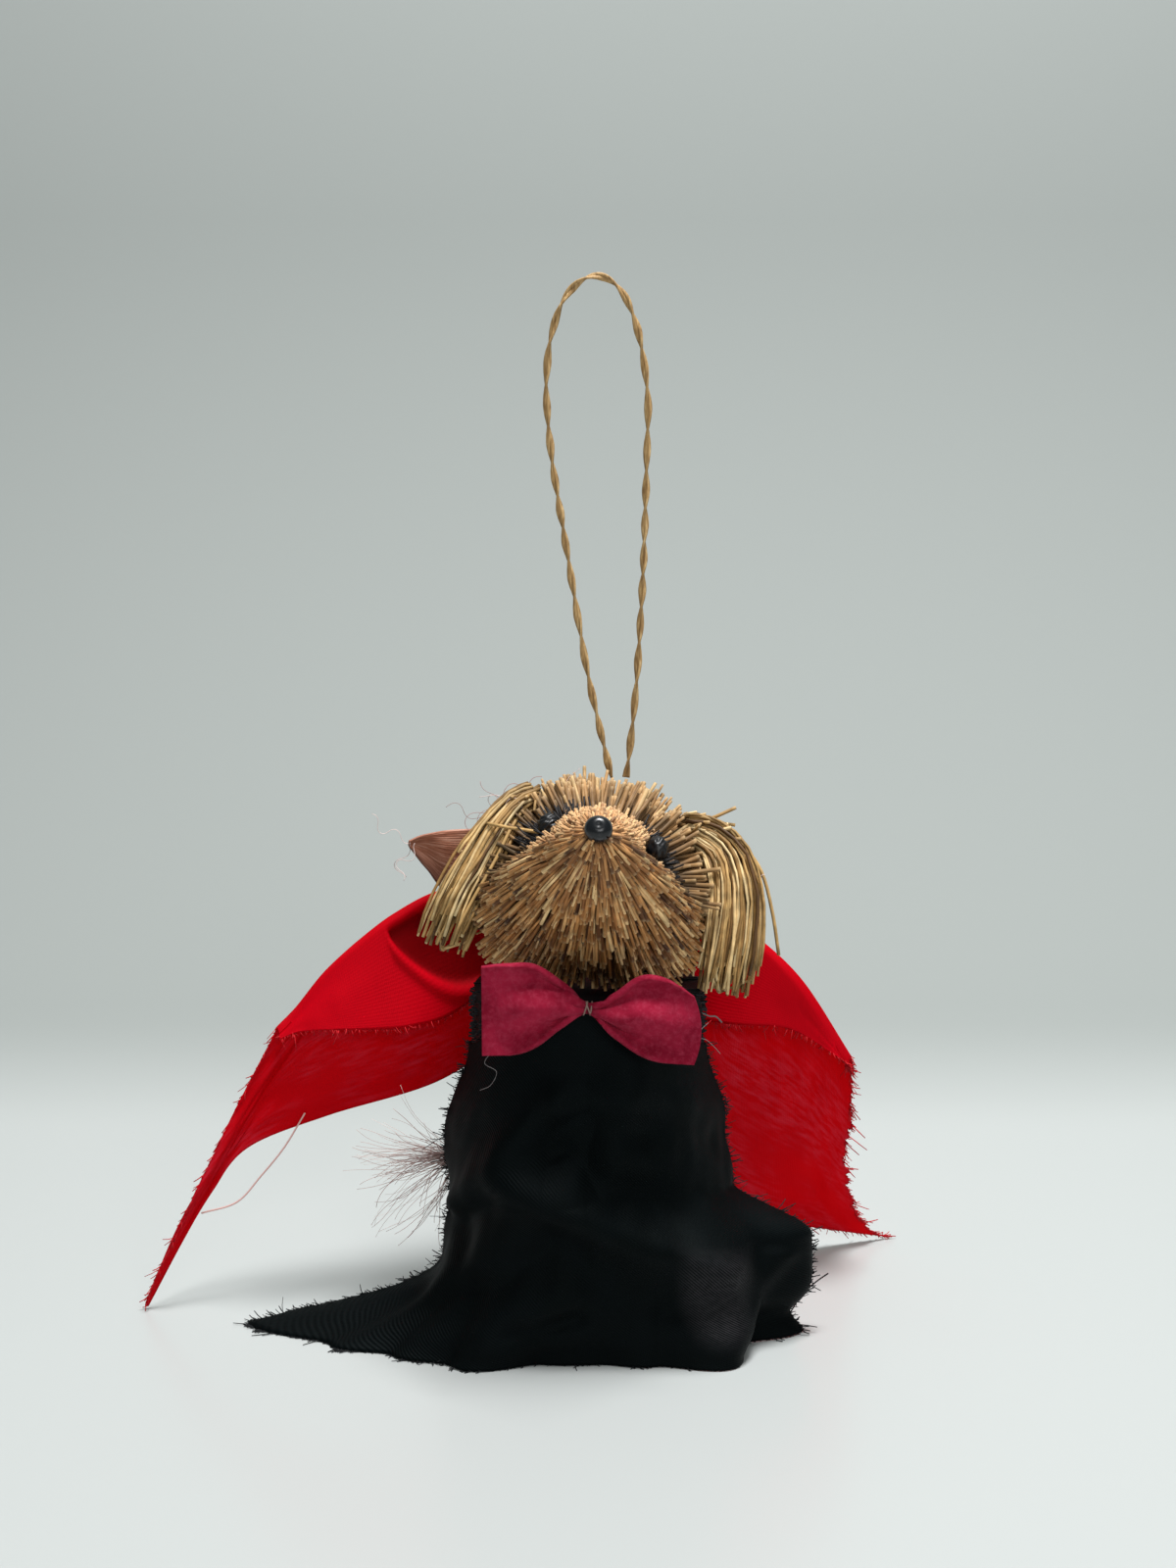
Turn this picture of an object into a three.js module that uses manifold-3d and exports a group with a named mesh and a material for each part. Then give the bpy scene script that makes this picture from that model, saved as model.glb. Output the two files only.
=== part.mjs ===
// A small dog ornament made of straw brushes, dressed in cloth, with a long cord to hang it by.
// Millimetres, +Z up. The dog looks along -Y. The origin is the middle of the body's flat underside.
import * as THREE from "three";
import { mergeVertices } from "three/addons/utils/BufferGeometryUtils.js";
import Module from "manifold-3d";

const wasm = await Module();
wasm.setup();

// Gaps between pieces that touch
const SEAT_GAP = 0.35;
const CLOTH_GAP = 0.5;

// Body: an upright brush of black bristle
const BODY_RADIUS = 25;
const BODY_HEIGHT = 72;
const BODY_LAYERS = 5;
const BODY_LAYER_DEPTH = 1.2;
const BODY_LOCKS = 24;
const BODY_LOCK_DEPTH = 0.9;
const BODY_EDGE = 1.5;

// Head: one straw brush, its axis through the nose
const HEAD_RADIUS = 23;
const MUZZLE_LENGTH = 34;
const HEAD_BACK = 15;
const HEAD_PITCH_DEG = 33;
const HEAD_ROLL_DEG = 8;
const HEAD_YAW_DEG = 2;
const HEAD_FORWARD = 6;
const HEAD_SIDE = 1;
const HEAD_LOCKS = 32;
const HEAD_LOCK_DEPTH = 1.3;
const MUZZLE_TOP_CUT = 6.3;
const MUZZLE_FULL_DEG = 72;
const MUZZLE_END_DEG = 112;
const CHIN_CUT = 5.5;
const CHIN_SPREAD_DEG = 34;
const JOWL_RISE = 2.4;
const JOWL_TURN_DEG = 126;
const JOWL_SPREAD_DEG = 24;
const CROWN_RISE = 5.5;
const CROWN_FULL_DEG = 70;
const CROWN_END_DEG = 105;
const CROWN_DEPTH = 5;
const CROWN_BACK = 7;
const CROWN_GROOVE = 2.2;
const CROWN_GROOVE_WIDTH = 2;
const SOCKET_DEPTH = 1.6;
const SOCKET_REACH = 4;
const SOCKET_SPREAD_DEG = 16;

// Face beads
const NOSE_RADIUS = 2.7;
const EYE_RADIUS = 2.2;
const EYE_FORWARD = 10;
const EYE_OUT = 13.9;
const LEFT_EYE_TURN_DEG = 48;
const RIGHT_EYE_TURN_DEG = 59;
const BEAD_SIDES = 12;
const BEAD_RINGS = 8;

// Ears: bundles of long straw
const EAR_LOCKS = 9;
const EAR_STEPS = 11;
const EAR_ROOT_SHARE = 0.5;
const EAR_LOCK_DEPTH = 0.5;
const EAR_SPREAD_END = 0.75;
const LEFT_EAR_WIDTH = 8.5;
const LEFT_EAR_THICKNESS = 5;
const RIGHT_EAR_WIDTH = 12.5;
const RIGHT_EAR_THICKNESS = 5.5;

// Gown: one panel of thin black cloth round the front of the body
const GOWN_THICKNESS = 1;
const GOWN_RISE = 3;
const GOWN_SHOULDER_DROP = 13;
const GOWN_LEFT_DEG = -76;
const GOWN_TRAIN_TURN_DEG = -8;
const GOWN_RIGHT_DEG = 75;
const GOWN_TRAIN = 46;
const GOWN_STAND = 3.4;
const GOWN_FOLD = 2.2;
const GOWN_FOLD_WIDTH = 0.075;
const GOWN_NECK_SHARE = 0.9;
const GOWN_TRAIN_START = 0.74;
const GOWN_FLARE_START = 0.5;
const GOWN_FLARE_END = 0.65;
const GOWN_PINCH_PLACE = 0.93;
const GOWN_PINCH_WIDTH = 0.05;

// Cape: one sheet of red cloth, its top folded forward as a flap
const CAPE_THICKNESS = 1;
const CAPE_REACH = 68;
const CAPE_RISE = 16;
const CAPE_FOLD_GAP = 1.1;
const CAPE_LEFT_BOW = -4;
const CAPE_RIGHT_BOW = 7;

// Bow tie: a strip of felt pinched at its middle
const BOW_THICKNESS = 1.4;
const BOW_LENGTH = 41.6;
const BOW_HEIGHT = 19;
const BOW_RISE = 2.6;
const BOW_BULGE = 1.6;
const BOW_END_CURVE = 1.4;

// Ribbon behind the head
const RIBBON_THICKNESS = 0.9;
const RIBBON_WIDTH = 15;
const RIBBON_REACH = 16;

// Feather low on the left
const FEATHER_THICKNESS = 0.9;
const FEATHER_LENGTH = 26;
const FEATHER_LEVEL = 33;
const FEATHER_SHORT_SHARE = 0.7;
const FEATHER_SLANT = 1 / 6;

// Hanging loop
const LOOP_DIAMETER = 1.5;
const LOOP_SIDES = 8;
const LOOP_STEPS = 42;
const LOOP_BACK = 10;

const rad = THREE.MathUtils.degToRad;
const mix = THREE.MathUtils.lerp;
const smooth = THREE.MathUtils.smoothstep;
const vec = (x, y, z) => new THREE.Vector3(x, y, z);
const bell = (value, middle, width) => Math.exp(-(((value - middle) / width) ** 2));

// Angle 0 is the front, and positive angles turn towards +X.
function aroundBody(angleDeg, radius, height) {
  const angle = rad(angleDeg);
  return vec(radius * Math.sin(angle), -radius * Math.cos(angle), height);
}

// A number read from a short list of [place, value] pairs, smoothly between them.
function along(list, place) {
  const last = list.length - 1;
  if (place <= list[0][0]) return list[0][1];
  if (place >= list[last][0]) return list[last][1];
  let i = 0;
  while (place > list[i + 1][0]) i += 1;
  const [start, from] = list[i];
  const [end, to] = list[i + 1];
  return mix(from, to, smooth(place, start, end));
}

function geometryOf(points, triangles) {
  const geometry = new THREE.BufferGeometry();
  const flat = points.flatMap((p) => [p.x, p.y, p.z]);
  geometry.setAttribute("position", new THREE.Float32BufferAttribute(flat, 3));
  geometry.setIndex(triangles);
  return geometry;
}

// A closed solid through rings of points, each ring counter-clockwise seen from the last one.
function loft(rings, startPoint, endPoint) {
  const count = rings[0].length;
  const points = rings.flat();
  const start = points.push(startPoint) - 1;
  const end = points.push(endPoint) - 1;
  const triangles = [];
  const lastRow = (rings.length - 1) * count;
  for (let i = 0; i < count; i += 1) {
    const next = (i + 1) % count;
    triangles.push(start, next, i);
    triangles.push(end, lastRow + i, lastRow + next);
    for (let row = 0; row < lastRow; row += count) {
      triangles.push(row + i, row + next, row + count + next);
      triangles.push(row + i, row + count + next, row + count + i);
    }
  }
  return geometryOf(points, triangles);
}

// Cloth as a closed solid: a grid of points thickened along its own normals.
function clothSolid(grid, thickness) {
  const rows = grid.length;
  const columns = grid[0].length;
  const at = (r, c) =>
    grid[THREE.MathUtils.clamp(r, 0, rows - 1)][THREE.MathUtils.clamp(c, 0, columns - 1)];
  const front = [];
  const back = [];
  for (let r = 0; r < rows; r += 1) {
    for (let c = 0; c < columns; c += 1) {
      const across = at(r, c + 1).clone().sub(at(r, c - 1));
      const down = at(r + 1, c).clone().sub(at(r - 1, c));
      const normal = across.cross(down).normalize().multiplyScalar(thickness / 2);
      front.push(at(r, c).clone().add(normal));
      back.push(at(r, c).clone().sub(normal));
    }
  }
  const points = [...front, ...back];
  for (const p of points) p.z = Math.max(p.z, 0);
  const id = (side, r, c) => side * rows * columns + r * columns + c;
  const triangles = [];
  const quad = (a, b, c, d) => triangles.push(a, b, c, a, c, d);
  for (let r = 0; r + 1 < rows; r += 1) {
    for (let c = 0; c + 1 < columns; c += 1) {
      quad(id(0, r, c), id(0, r, c + 1), id(0, r + 1, c + 1), id(0, r + 1, c));
      quad(id(1, r, c), id(1, r + 1, c), id(1, r + 1, c + 1), id(1, r, c + 1));
    }
    quad(id(0, r, 0), id(0, r + 1, 0), id(1, r + 1, 0), id(1, r, 0));
    const end = columns - 1;
    quad(id(0, r + 1, end), id(0, r, end), id(1, r, end), id(1, r + 1, end));
  }
  for (let c = 0; c + 1 < columns; c += 1) {
    quad(id(0, 0, c + 1), id(0, 0, c), id(1, 0, c), id(1, 0, c + 1));
    const end = rows - 1;
    quad(id(0, end, c), id(0, end, c + 1), id(1, end, c + 1), id(1, end, c));
  }
  return geometryOf(points, triangles);
}

function toSolid(geometry) {
  const bare = geometry.clone();
  bare.deleteAttribute("normal");
  bare.deleteAttribute("uv");
  const merged = mergeVertices(bare, 1e-3);
  return new wasm.Manifold(
    new wasm.Mesh({
      numProp: 3,
      vertProperties: merged.attributes.position.array,
      triVerts: new Uint32Array(merged.index.array),
    }),
  );
}

function toGeometry(solid) {
  const pieces = solid.decompose().sort((a, b) => b.volume() - a.volume());
  const mesh = pieces[0].getMesh();
  const geometry = new THREE.BufferGeometry();
  geometry.setAttribute("position", new THREE.BufferAttribute(mesh.vertProperties, 3));
  geometry.setIndex(new THREE.BufferAttribute(mesh.triVerts, 1));
  return geometry;
}

const cutBy = (geometry, ...tools) =>
  toGeometry(tools.reduce((solid, tool) => solid.subtract(toSolid(tool)), toSolid(geometry)));

const bead = (centre, radius) =>
  new THREE.SphereGeometry(radius, BEAD_SIDES, BEAD_RINGS).translate(centre.x, centre.y, centre.z);

// Body
function bodyGeometry() {
  const sides = BODY_LOCKS * 2;
  const rows = BODY_LAYERS * 2;
  const rings = [];
  for (let row = 0; row <= rows; row += 1) {
    const end = row === 0 || row === rows;
    const layer = row % 2 === 1 ? 0 : BODY_LAYER_DEPTH;
    const ring = [];
    for (let side = 0; side < sides; side += 1) {
      const lock = (side + Math.floor(row / 2)) % 2 === 1 ? BODY_LOCK_DEPTH : 0;
      const radius = BODY_RADIUS - (end ? BODY_EDGE : layer) - lock;
      ring.push(aroundBody((side * 360) / sides, radius, (BODY_HEIGHT * row) / rows));
    }
    rings.push(ring);
  }
  return loft(rings, vec(0, 0, 0), vec(0, 0, BODY_HEIGHT));
}

// Head: its own directions, forward along the axis to the nose, up through the crown, and
// aside towards -X
const headTurn = new THREE.Euler(rad(-HEAD_PITCH_DEG), 0, rad(HEAD_YAW_DEG), "ZXY");
const forward = vec(0, -1, 0).applyEuler(headTurn);
const level = vec(0, 0, 1).applyEuler(headTurn);
const up = level.clone().applyAxisAngle(forward, -rad(HEAD_ROLL_DEG));
const aside = forward.clone().cross(up);

function muzzleRadius(t) {
  if (t < 0) return HEAD_RADIUS * Math.cbrt(Math.max(0, 1 - (-t / HEAD_BACK) ** 3));
  return HEAD_RADIUS * Math.max(0, 1 - (t / MUZZLE_LENGTH) ** 1.75) ** 0.8;
}

// The brush's radius at a place along its axis and a turn from the crown.
function headRadius(t, turnDeg, swell = 0) {
  const plain = muzzleRadius(t);
  const turn = Math.abs(turnDeg);
  const overTop = 1 - smooth(turn, MUZZLE_FULL_DEG, MUZZLE_END_DEG);
  const onMuzzle =
    smooth(t, 0, MUZZLE_LENGTH / 4) * (1 - smooth(t, MUZZLE_LENGTH / 2, MUZZLE_LENGTH));
  const crown = 1 - smooth(turn, CROWN_FULL_DEG, CROWN_END_DEG);
  const rise = CROWN_RISE * crown * bell(t, -CROWN_BACK, CROWN_DEPTH);
  const groove = CROWN_GROOVE * crown * bell(t, CROWN_GROOVE_WIDTH / 2, CROWN_GROOVE_WIDTH);
  const eyeTurn = turnDeg > 0 ? LEFT_EYE_TURN_DEG : RIGHT_EYE_TURN_DEG;
  const atEye = bell(turn, eyeTurn, SOCKET_SPREAD_DEG) * bell(t, EYE_FORWARD, SOCKET_REACH);
  const socket = SOCKET_DEPTH * atEye;
  const round = plain / HEAD_RADIUS;
  const chin = CHIN_CUT * round * bell(turn, 180, CHIN_SPREAD_DEG);
  const jowl = JOWL_RISE * round * bell(turn, JOWL_TURN_DEG, JOWL_SPREAD_DEG);
  const cut = MUZZLE_TOP_CUT * overTop * onMuzzle;
  return Math.max(plain + rise + jowl - groove - socket - cut - chin, HEAD_RADIUS / 12) + swell;
}

function onHead(t, turnDeg, radius) {
  const turn = rad(turnDeg);
  return headCentre
    .clone()
    .addScaledVector(forward, t)
    .addScaledVector(up, radius * Math.cos(turn))
    .addScaledVector(aside, radius * Math.sin(turn));
}

const BACK_RINGS = [0.93, 0.78, 0.62, 0.46, 0.3, 0.14];
const MUZZLE_RINGS = [0, 0.05, 0.14, 0.26, 0.39, 0.52, 0.65, 0.77, 0.88, 0.95];

function headGeometry(swell = 0) {
  const sides = HEAD_LOCKS * 2;
  const places = [
    ...BACK_RINGS.map((share) => -share * HEAD_BACK),
    ...MUZZLE_RINGS.map((share) => share * MUZZLE_LENGTH),
  ];
  const rings = places.map((t) => {
    const ring = [];
    for (let side = 0; side < sides; side += 1) {
      const turnDeg = (side * 360) / sides - 180;
      const radius = headRadius(t, turnDeg, swell);
      const uneven = 1 + Math.sin(side * side) / 3;
      const lock = side % 2 === 1 && swell === 0 ? HEAD_LOCK_DEPTH * uneven : 0;
      ring.push(onHead(t, turnDeg, radius - lock * Math.min(1, radius / HEAD_RADIUS)));
    }
    return ring;
  });
  const start = onHead(places[0] - swell, 0, 0);
  const end = onHead(places[places.length - 1] + swell, 0, 0);
  return loft(rings, start, end);
}

// The head rests on the body, so its height follows from its lowest point.
const headCentre = vec(HEAD_SIDE, -HEAD_FORWARD, 0);
headCentre.z = (() => {
  const geometry = headGeometry();
  geometry.computeBoundingBox();
  return BODY_HEIGHT + SEAT_GAP - geometry.boundingBox.min.z;
})();

const noseCentre = () => onHead(MUZZLE_LENGTH, 0, 0);
const leftEyeCentre = () => onHead(EYE_FORWARD, LEFT_EYE_TURN_DEG, EYE_OUT);
const rightEyeCentre = () => onHead(EYE_FORWARD, -RIGHT_EYE_TURN_DEG, EYE_OUT);

// Ears: each follows a path given as shares of the head's radius from the head's middle.
const LEFT_EAR_PATH = [
  [-0.5, 0.52, 0.78],
  [-0.64, 0.39, 0.72],
  [-0.81, 0.22, 0.53],
  [-0.98, 0.04, 0.25],
  [-1.17, -0.07, -0.08],
  [-1.34, -0.13, -0.5],
];
const RIGHT_EAR_PATH = [
  [0.78, 0.48, 0.48],
  [0.98, 0.39, 0.45],
  [1.17, 0.22, 0.3],
  [1.24, 0.04, -0.02],
  [1.2, -0.09, -0.42],
  [1.12, -0.17, -0.88],
];

function earGeometry(path, width, thickness) {
  const curve = new THREE.CatmullRomCurve3(
    path.map(([x, y, z]) => vec(x, y, z).multiplyScalar(HEAD_RADIUS).add(headCentre)),
  );
  const sides = EAR_LOCKS * 2;
  const rings = [];
  for (let step = 0; step <= EAR_STEPS; step += 1) {
    const share = step / EAR_STEPS;
    const middle = curve.getPointAt(share);
    const run = curve.getTangentAt(share);
    const broad = vec(0, 1, 0).cross(run).normalize();
    const deep = run.clone().cross(broad).normalize();
    const half = (width / 2) * mix(EAR_ROOT_SHARE, 1, smooth(share, 0, EAR_SPREAD_END));
    const ring = [];
    for (let side = 0; side < sides; side += 1) {
      const turn = (side * 2 * Math.PI) / sides;
      const lock = side % 2 === 1 ? EAR_LOCK_DEPTH : 0;
      ring.push(
        middle
          .clone()
          .addScaledVector(broad, (half - lock) * Math.cos(turn))
          .addScaledVector(deep, (thickness / 2 - lock) * Math.sin(turn)),
      );
    }
    rings.push(ring);
  }
  const solid = loft(rings, curve.getPointAt(0), curve.getPointAt(1));
  return cutBy(solid, headGeometry(SEAT_GAP));
}

// Gown: how far the hem stands out from the body, as shares of the train, from left to right
const GOWN_HEM = [
  [0, 1],
  [0.09, 0.66],
  [0.16, 0.45],
  [0.26, 0.28],
  [0.42, 0.08],
  [0.56, 0.06],
  [0.68, 0.14],
  [0.81, 0.31],
  [0.9, 0.24],
  [1, 0.45],
];
const GOWN_COLUMNS = 20;
const GOWN_ROWS = 16;

// Folds: each runs between two places across and down the panel
const GOWN_FOLDS = [
  [0.1, 0.8, 0.46, 0.5],
  [0.34, 0.52, 0.72, 0.73],
  [0.93, 0.62, 0.8, 1],
  [0.3, 1, 0.42, 0.78],
  [0.62, 0.2, 0.56, 0.46],
];

function foldHeight(u, v, [startU, startV, endU, endV]) {
  const run = new THREE.Line3(vec(startU, startV, 0), vec(endU, endV, 0));
  const place = vec(u, v, 0);
  const nearest = run.closestPointToPoint(place, true, vec(0, 0, 0));
  return GOWN_FOLD * bell(place.distanceTo(nearest), 0, GOWN_FOLD_WIDTH);
}

function gownPoint(u, v) {
  const edge = Math.abs(2 * u - 1);
  const top = BODY_HEIGHT + GOWN_RISE - GOWN_SHOULDER_DROP * smooth(edge, 0.25, 1);
  const height = mix(top, GOWN_THICKNESS / 2, v);
  const late = Math.max(0, (v - GOWN_TRAIN_START) / (1 - GOWN_TRAIN_START)) ** 2;
  const early = smooth(v, GOWN_FLARE_START, GOWN_FLARE_END);
  const flare = mix(mix(late, v ** 3, smooth(u, 0, 0.4)), early, smooth(u, 0.6, 0.95));
  const reach = along(GOWN_HEM, u) * GOWN_TRAIN;
  const waist = GOWN_STAND * edge * smooth(v, 0, 0.3);
  const folds = Math.max(...GOWN_FOLDS.map((fold) => foldHeight(u, v, fold)));
  const pinch = GOWN_STAND * bell(v, GOWN_PINCH_PLACE, GOWN_PINCH_WIDTH) * smooth(u, 0.8, 1);
  const stand = mix(waist, reach, flare) + folds - pinch;
  const left = GOWN_LEFT_DEG + GOWN_TRAIN_TURN_DEG * smooth(v, GOWN_TRAIN_START, 1);
  const narrow = mix(GOWN_NECK_SHARE, 1, smooth(v, 0, 0.25));
  const angle = mix(left, GOWN_RIGHT_DEG, u) * narrow;
  return aroundBody(angle, BODY_RADIUS + CLOTH_GAP + GOWN_THICKNESS / 2 + stand, height);
}

function gownGeometry() {
  const grid = [];
  for (let row = 0; row <= GOWN_ROWS; row += 1) {
    const points = [];
    for (let column = 0; column <= GOWN_COLUMNS; column += 1) {
      points.push(gownPoint(column / GOWN_COLUMNS, row / GOWN_ROWS));
    }
    grid.push(points);
  }
  return clothSolid(grid, GOWN_THICKNESS);
}

// Cape: three lines from its left edge round the back to its right edge.
// Each entry is the angle round the body, the distance out as a share of the reach,
// and the height as a share of the cape's top.
const CAPE_LOWER_EDGE = [
  [-90, 1, 0.007],
  [-91.3, 0.9, 0.15],
  [-92.9, 0.8, 0.28],
  [-94.8, 0.69, 0.385],
  [-99.3, 0.45, 0.455],
  [-115.9, 0.17, 0.51],
  [-146, 0.08, 0.59],
  [-180, 0.06, 0.66],
  [-212, 0.075, 0.65],
  [-236, 0.06, 0.62],
  [-237, 0.05, 0.42],
  [-234, 0.08, 0.24],
  [-235, 0.34, 0.11],
  [-238, 0.62, 0.04],
  [-240, 0.8, 0.007],
];
const CAPE_FOLD_LINE = [
  [-95.3, 0.59, 0.69],
  [-97, 0.535, 0.735],
  [-99.3, 0.45, 0.82],
  [-102.3, 0.355, 0.89],
  [-108, 0.25, 0.955],
  [-121, 0.147, 1],
  [-146, 0.06, 1],
  [-180, 0.045, 1],
  [-209.7, 0.06, 0.98],
  [-225, 0.09, 0.955],
  [-234.2, 0.122, 0.93],
  [-241.3, 0.153, 0.91],
  [-249.3, 0.21, 0.875],
  [-254.2, 0.325, 0.775],
  [-254.4, 0.485, 0.58],
];
const CAPE_FLAP_EDGE = [
  [-93.6, 0.58, 0.67],
  [-93.8, 0.515, 0.685],
  [-94.4, 0.4, 0.687],
  [-96.5, 0.285, 0.685],
  [-100.2, 0.17, 0.688],
  [-113.6, 0.075, 0.705],
  [-147, 0.026, 0.8],
  [-180, 0.022, 0.86],
  [-209.5, 0.026, 0.84],
  [-224.3, 0.032, 0.75],
  [-236, 0.04, 0.685],
  [-245.2, 0.07, 0.677],
  [-251.6, 0.145, 0.675],
  [-254.7, 0.29, 0.66],
  [-256, 0.475, 0.565],
];
const CAPE_STEPS = 28;
const CAPE_PANEL_ROWS = 6;
const CAPE_FLAP_ROWS = 3;

function capeLine(list) {
  const inner = BODY_RADIUS + CLOTH_GAP + CAPE_THICKNESS / 2;
  const rise = BODY_HEIGHT + CAPE_RISE;
  const points = list.map(([angle, out, height]) =>
    aroundBody(angle, inner + out * CAPE_REACH, height * rise),
  );
  return new THREE.CatmullRomCurve3(points, false, "catmullrom", 0.5);
}

function capeGeometry() {
  const lower = capeLine(CAPE_LOWER_EDGE);
  const fold = capeLine(CAPE_FOLD_LINE);
  const flap = capeLine(CAPE_FLAP_EDGE);
  const grid = [];
  for (let step = 0; step <= CAPE_STEPS; step += 1) {
    const share = step / CAPE_STEPS;
    const low = lower.getPoint(share);
    const top = fold.getPoint(share);
    top.z -= CAPE_FOLD_GAP + CAPE_THICKNESS / 2;
    const edge = flap.getPoint(share);
    const inward = share < 0.5 ? fold.getTangent(share) : top.clone().setZ(0).normalize().negate();
    const bow = CAPE_LEFT_BOW * (1 - smooth(share, 0, 0.2)) + CAPE_RIGHT_BOW * smooth(share, 0.8, 1);
    const toViewer = fold.getTangent(share).cross(top.clone().sub(low)).normalize();
    const behind = top.clone().addScaledVector(toViewer, -CAPE_FOLD_GAP);
    const before = top.clone().addScaledVector(toViewer, CAPE_FOLD_GAP);
    const line = [];
    for (let row = 0; row <= CAPE_PANEL_ROWS; row += 1) {
      const rise = row / CAPE_PANEL_ROWS;
      const point = low.clone().lerp(behind, rise);
      line.push(point.addScaledVector(inward, bow * Math.sin(Math.PI * Math.sqrt(rise))));
    }
    line.push(top.clone().add(vec(0, 0, CAPE_FOLD_GAP)));
    for (let row = 0; row <= CAPE_FLAP_ROWS; row += 1) {
      line.push(before.clone().lerp(edge, row / CAPE_FLAP_ROWS));
    }
    grid.push(line);
  }
  return clothSolid(grid, CAPE_THICKNESS);
}

// Bow tie: heights of its upper and lower edge over the knot, as shares of its height, at even
// steps from the left end over the knot to the right end
const BOW_OUTLINE = [
  [0.44, -0.5],
  [0.47, -0.49],
  [0.46, -0.38],
  [0.27, -0.17],
  [0.04, -0.04],
  [0.15, -0.27],
  [0.34, -0.47],
  [0.3, -0.58],
  [0.12, -0.6],
];
const BOW_COLUMNS = 22;
const BOW_ROWS = 6;

const bowEdge = (side) =>
  new THREE.SplineCurve(
    BOW_OUTLINE.map((edges, i) => new THREE.Vector2(i, edges[side] * BOW_HEIGHT)),
  );
const bowTop = bowEdge(0);
const bowFoot = bowEdge(1);

function bowPoint(s, v) {
  const out = Math.abs(s);
  const place = (s + 1) / 2;
  const rise = mix(bowTop.getPoint(place).y, bowFoot.getPoint(place).y, (v + 1) / 2);
  const endCurve = BOW_END_CURVE * smooth(s, 0.5, 1) * (1 - v * v);
  const crease = Math.cos(v * Math.PI * 1.5) * smooth(out, 0.05, 0.3) * (1 - smooth(out, 0.5, 1));
  const bulge = BOW_BULGE * (Math.sin(Math.PI * Math.min(1, out * 1.15)) + crease);
  const front = BODY_RADIUS + CLOTH_GAP + GOWN_THICKNESS + CLOTH_GAP * 3 + BOW_THICKNESS;
  return vec((s * BOW_LENGTH) / 2 + endCurve, -front - bulge, BODY_HEIGHT + BOW_RISE + rise);
}

function bowGeometry() {
  const grid = [];
  for (let row = 0; row <= BOW_ROWS; row += 1) {
    const points = [];
    for (let column = 0; column <= BOW_COLUMNS; column += 1) {
      points.push(bowPoint((2 * column) / BOW_COLUMNS - 1, (2 * row) / BOW_ROWS - 1));
    }
    grid.push(points);
  }
  return clothSolid(grid, BOW_THICKNESS);
}

// Ribbon: angle round the head's back, distance out as a share of the reach, height of its
// top edge over the head's middle as a share of the head's radius, and share of its full width
const RIBBON_LINE = [
  [-104.8, 1, 0.32, 0.1],
  [-110, 0.85, 0.36, 0.5],
  [-120, 0.58, 0.37, 1],
  [-146, -0.02, 0.36, 1],
  [-180, -0.26, 0.3, 1],
  [-212, -0.02, 0.24, 1],
  [-236, 0.43, 0.16, 1],
  [-250, 0.78, 0.08, 1],
  [-257.5, 0.88, 0.03, 0.95],
];
const RIBBON_STEPS = 20;

function ribbonGeometry() {
  const edge = (side) =>
    new THREE.CatmullRomCurve3(
      RIBBON_LINE.map(([angle, out, rise, width]) => {
        const top = headCentre.z + rise * HEAD_RADIUS;
        return aroundBody(angle, HEAD_RADIUS + out * RIBBON_REACH, top - side * width * RIBBON_WIDTH);
      }),
    );
  const grid = [0, 0.5, 1].map((side) => edge(side).getPoints(RIBBON_STEPS));
  return clothSolid(grid, RIBBON_THICKNESS);
}

// Feather: a fan of barbs, long and short in turn
const FEATHER_BARBS = 13;
const FEATHER_TOP_DEG = 14;
const FEATHER_LOW_DEG = -62;

function featherGeometry() {
  const root = vec(-(BODY_RADIUS + CLOTH_GAP), BODY_RADIUS / 8, FEATHER_LEVEL);
  const rows = [0.1, 0.45, 1];
  const grid = rows.map((row) => {
    const points = [];
    for (let barb = 0; barb <= FEATHER_BARBS; barb += 1) {
      const angle = rad(mix(FEATHER_LOW_DEG, FEATHER_TOP_DEG, barb / FEATHER_BARBS));
      const short = row === 1 && barb % 2 === 1;
      const length = FEATHER_LENGTH * row * (short ? FEATHER_SHORT_SHARE : 1);
      const aft = length * FEATHER_SLANT;
      const offset = vec(-length * Math.cos(angle), aft, length * Math.sin(angle));
      points.push(root.clone().add(offset));
    }
    return points;
  });
  return clothSolid(grid, FEATHER_THICKNESS);
}

// Hanging loop: chosen points, sideways and up from the middle of the head,
// from the left leg over the top and down the right leg
const LOOP_ROUTE = [
  [3.9, 20.9], [1.5, 31.2], [-1, 42.5], [-2.8, 52.7], [-4.8, 64.9],
  [-6.8, 76.9], [-8.4, 86.9], [-9.4, 97.6], [-9.4, 104.6], [-8.5, 111.5],
  [-6.3, 118.1], [-3.4, 121.8], [0, 123.5], [3.4, 122.7], [6.5, 119.4],
  [8.9, 113.4], [10.3, 106.6], [11.2, 98.4], [11, 86.9], [10.7, 74.9],
  [10.3, 62.8], [9.8, 52.7], [9.2, 42.5], [8.2, 31.2], [7, 20.9],
];

function loopGeometry() {
  const curve = new THREE.CatmullRomCurve3(
    LOOP_ROUTE.map(([x, z]) => vec(headCentre.x + x, LOOP_BACK, headCentre.z + z)),
  );
  const section = new THREE.Shape();
  for (let side = 0; side < LOOP_SIDES; side += 1) {
    const turn = (side * 2 * Math.PI) / LOOP_SIDES;
    const x = (LOOP_DIAMETER / 2) * Math.cos(turn);
    const y = (LOOP_DIAMETER / 2) * Math.sin(turn);
    if (side === 0) section.moveTo(x, y);
    else section.lineTo(x, y);
  }
  section.closePath();
  return new THREE.ExtrudeGeometry(section, { steps: LOOP_STEPS, extrudePath: curve });
}

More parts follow.
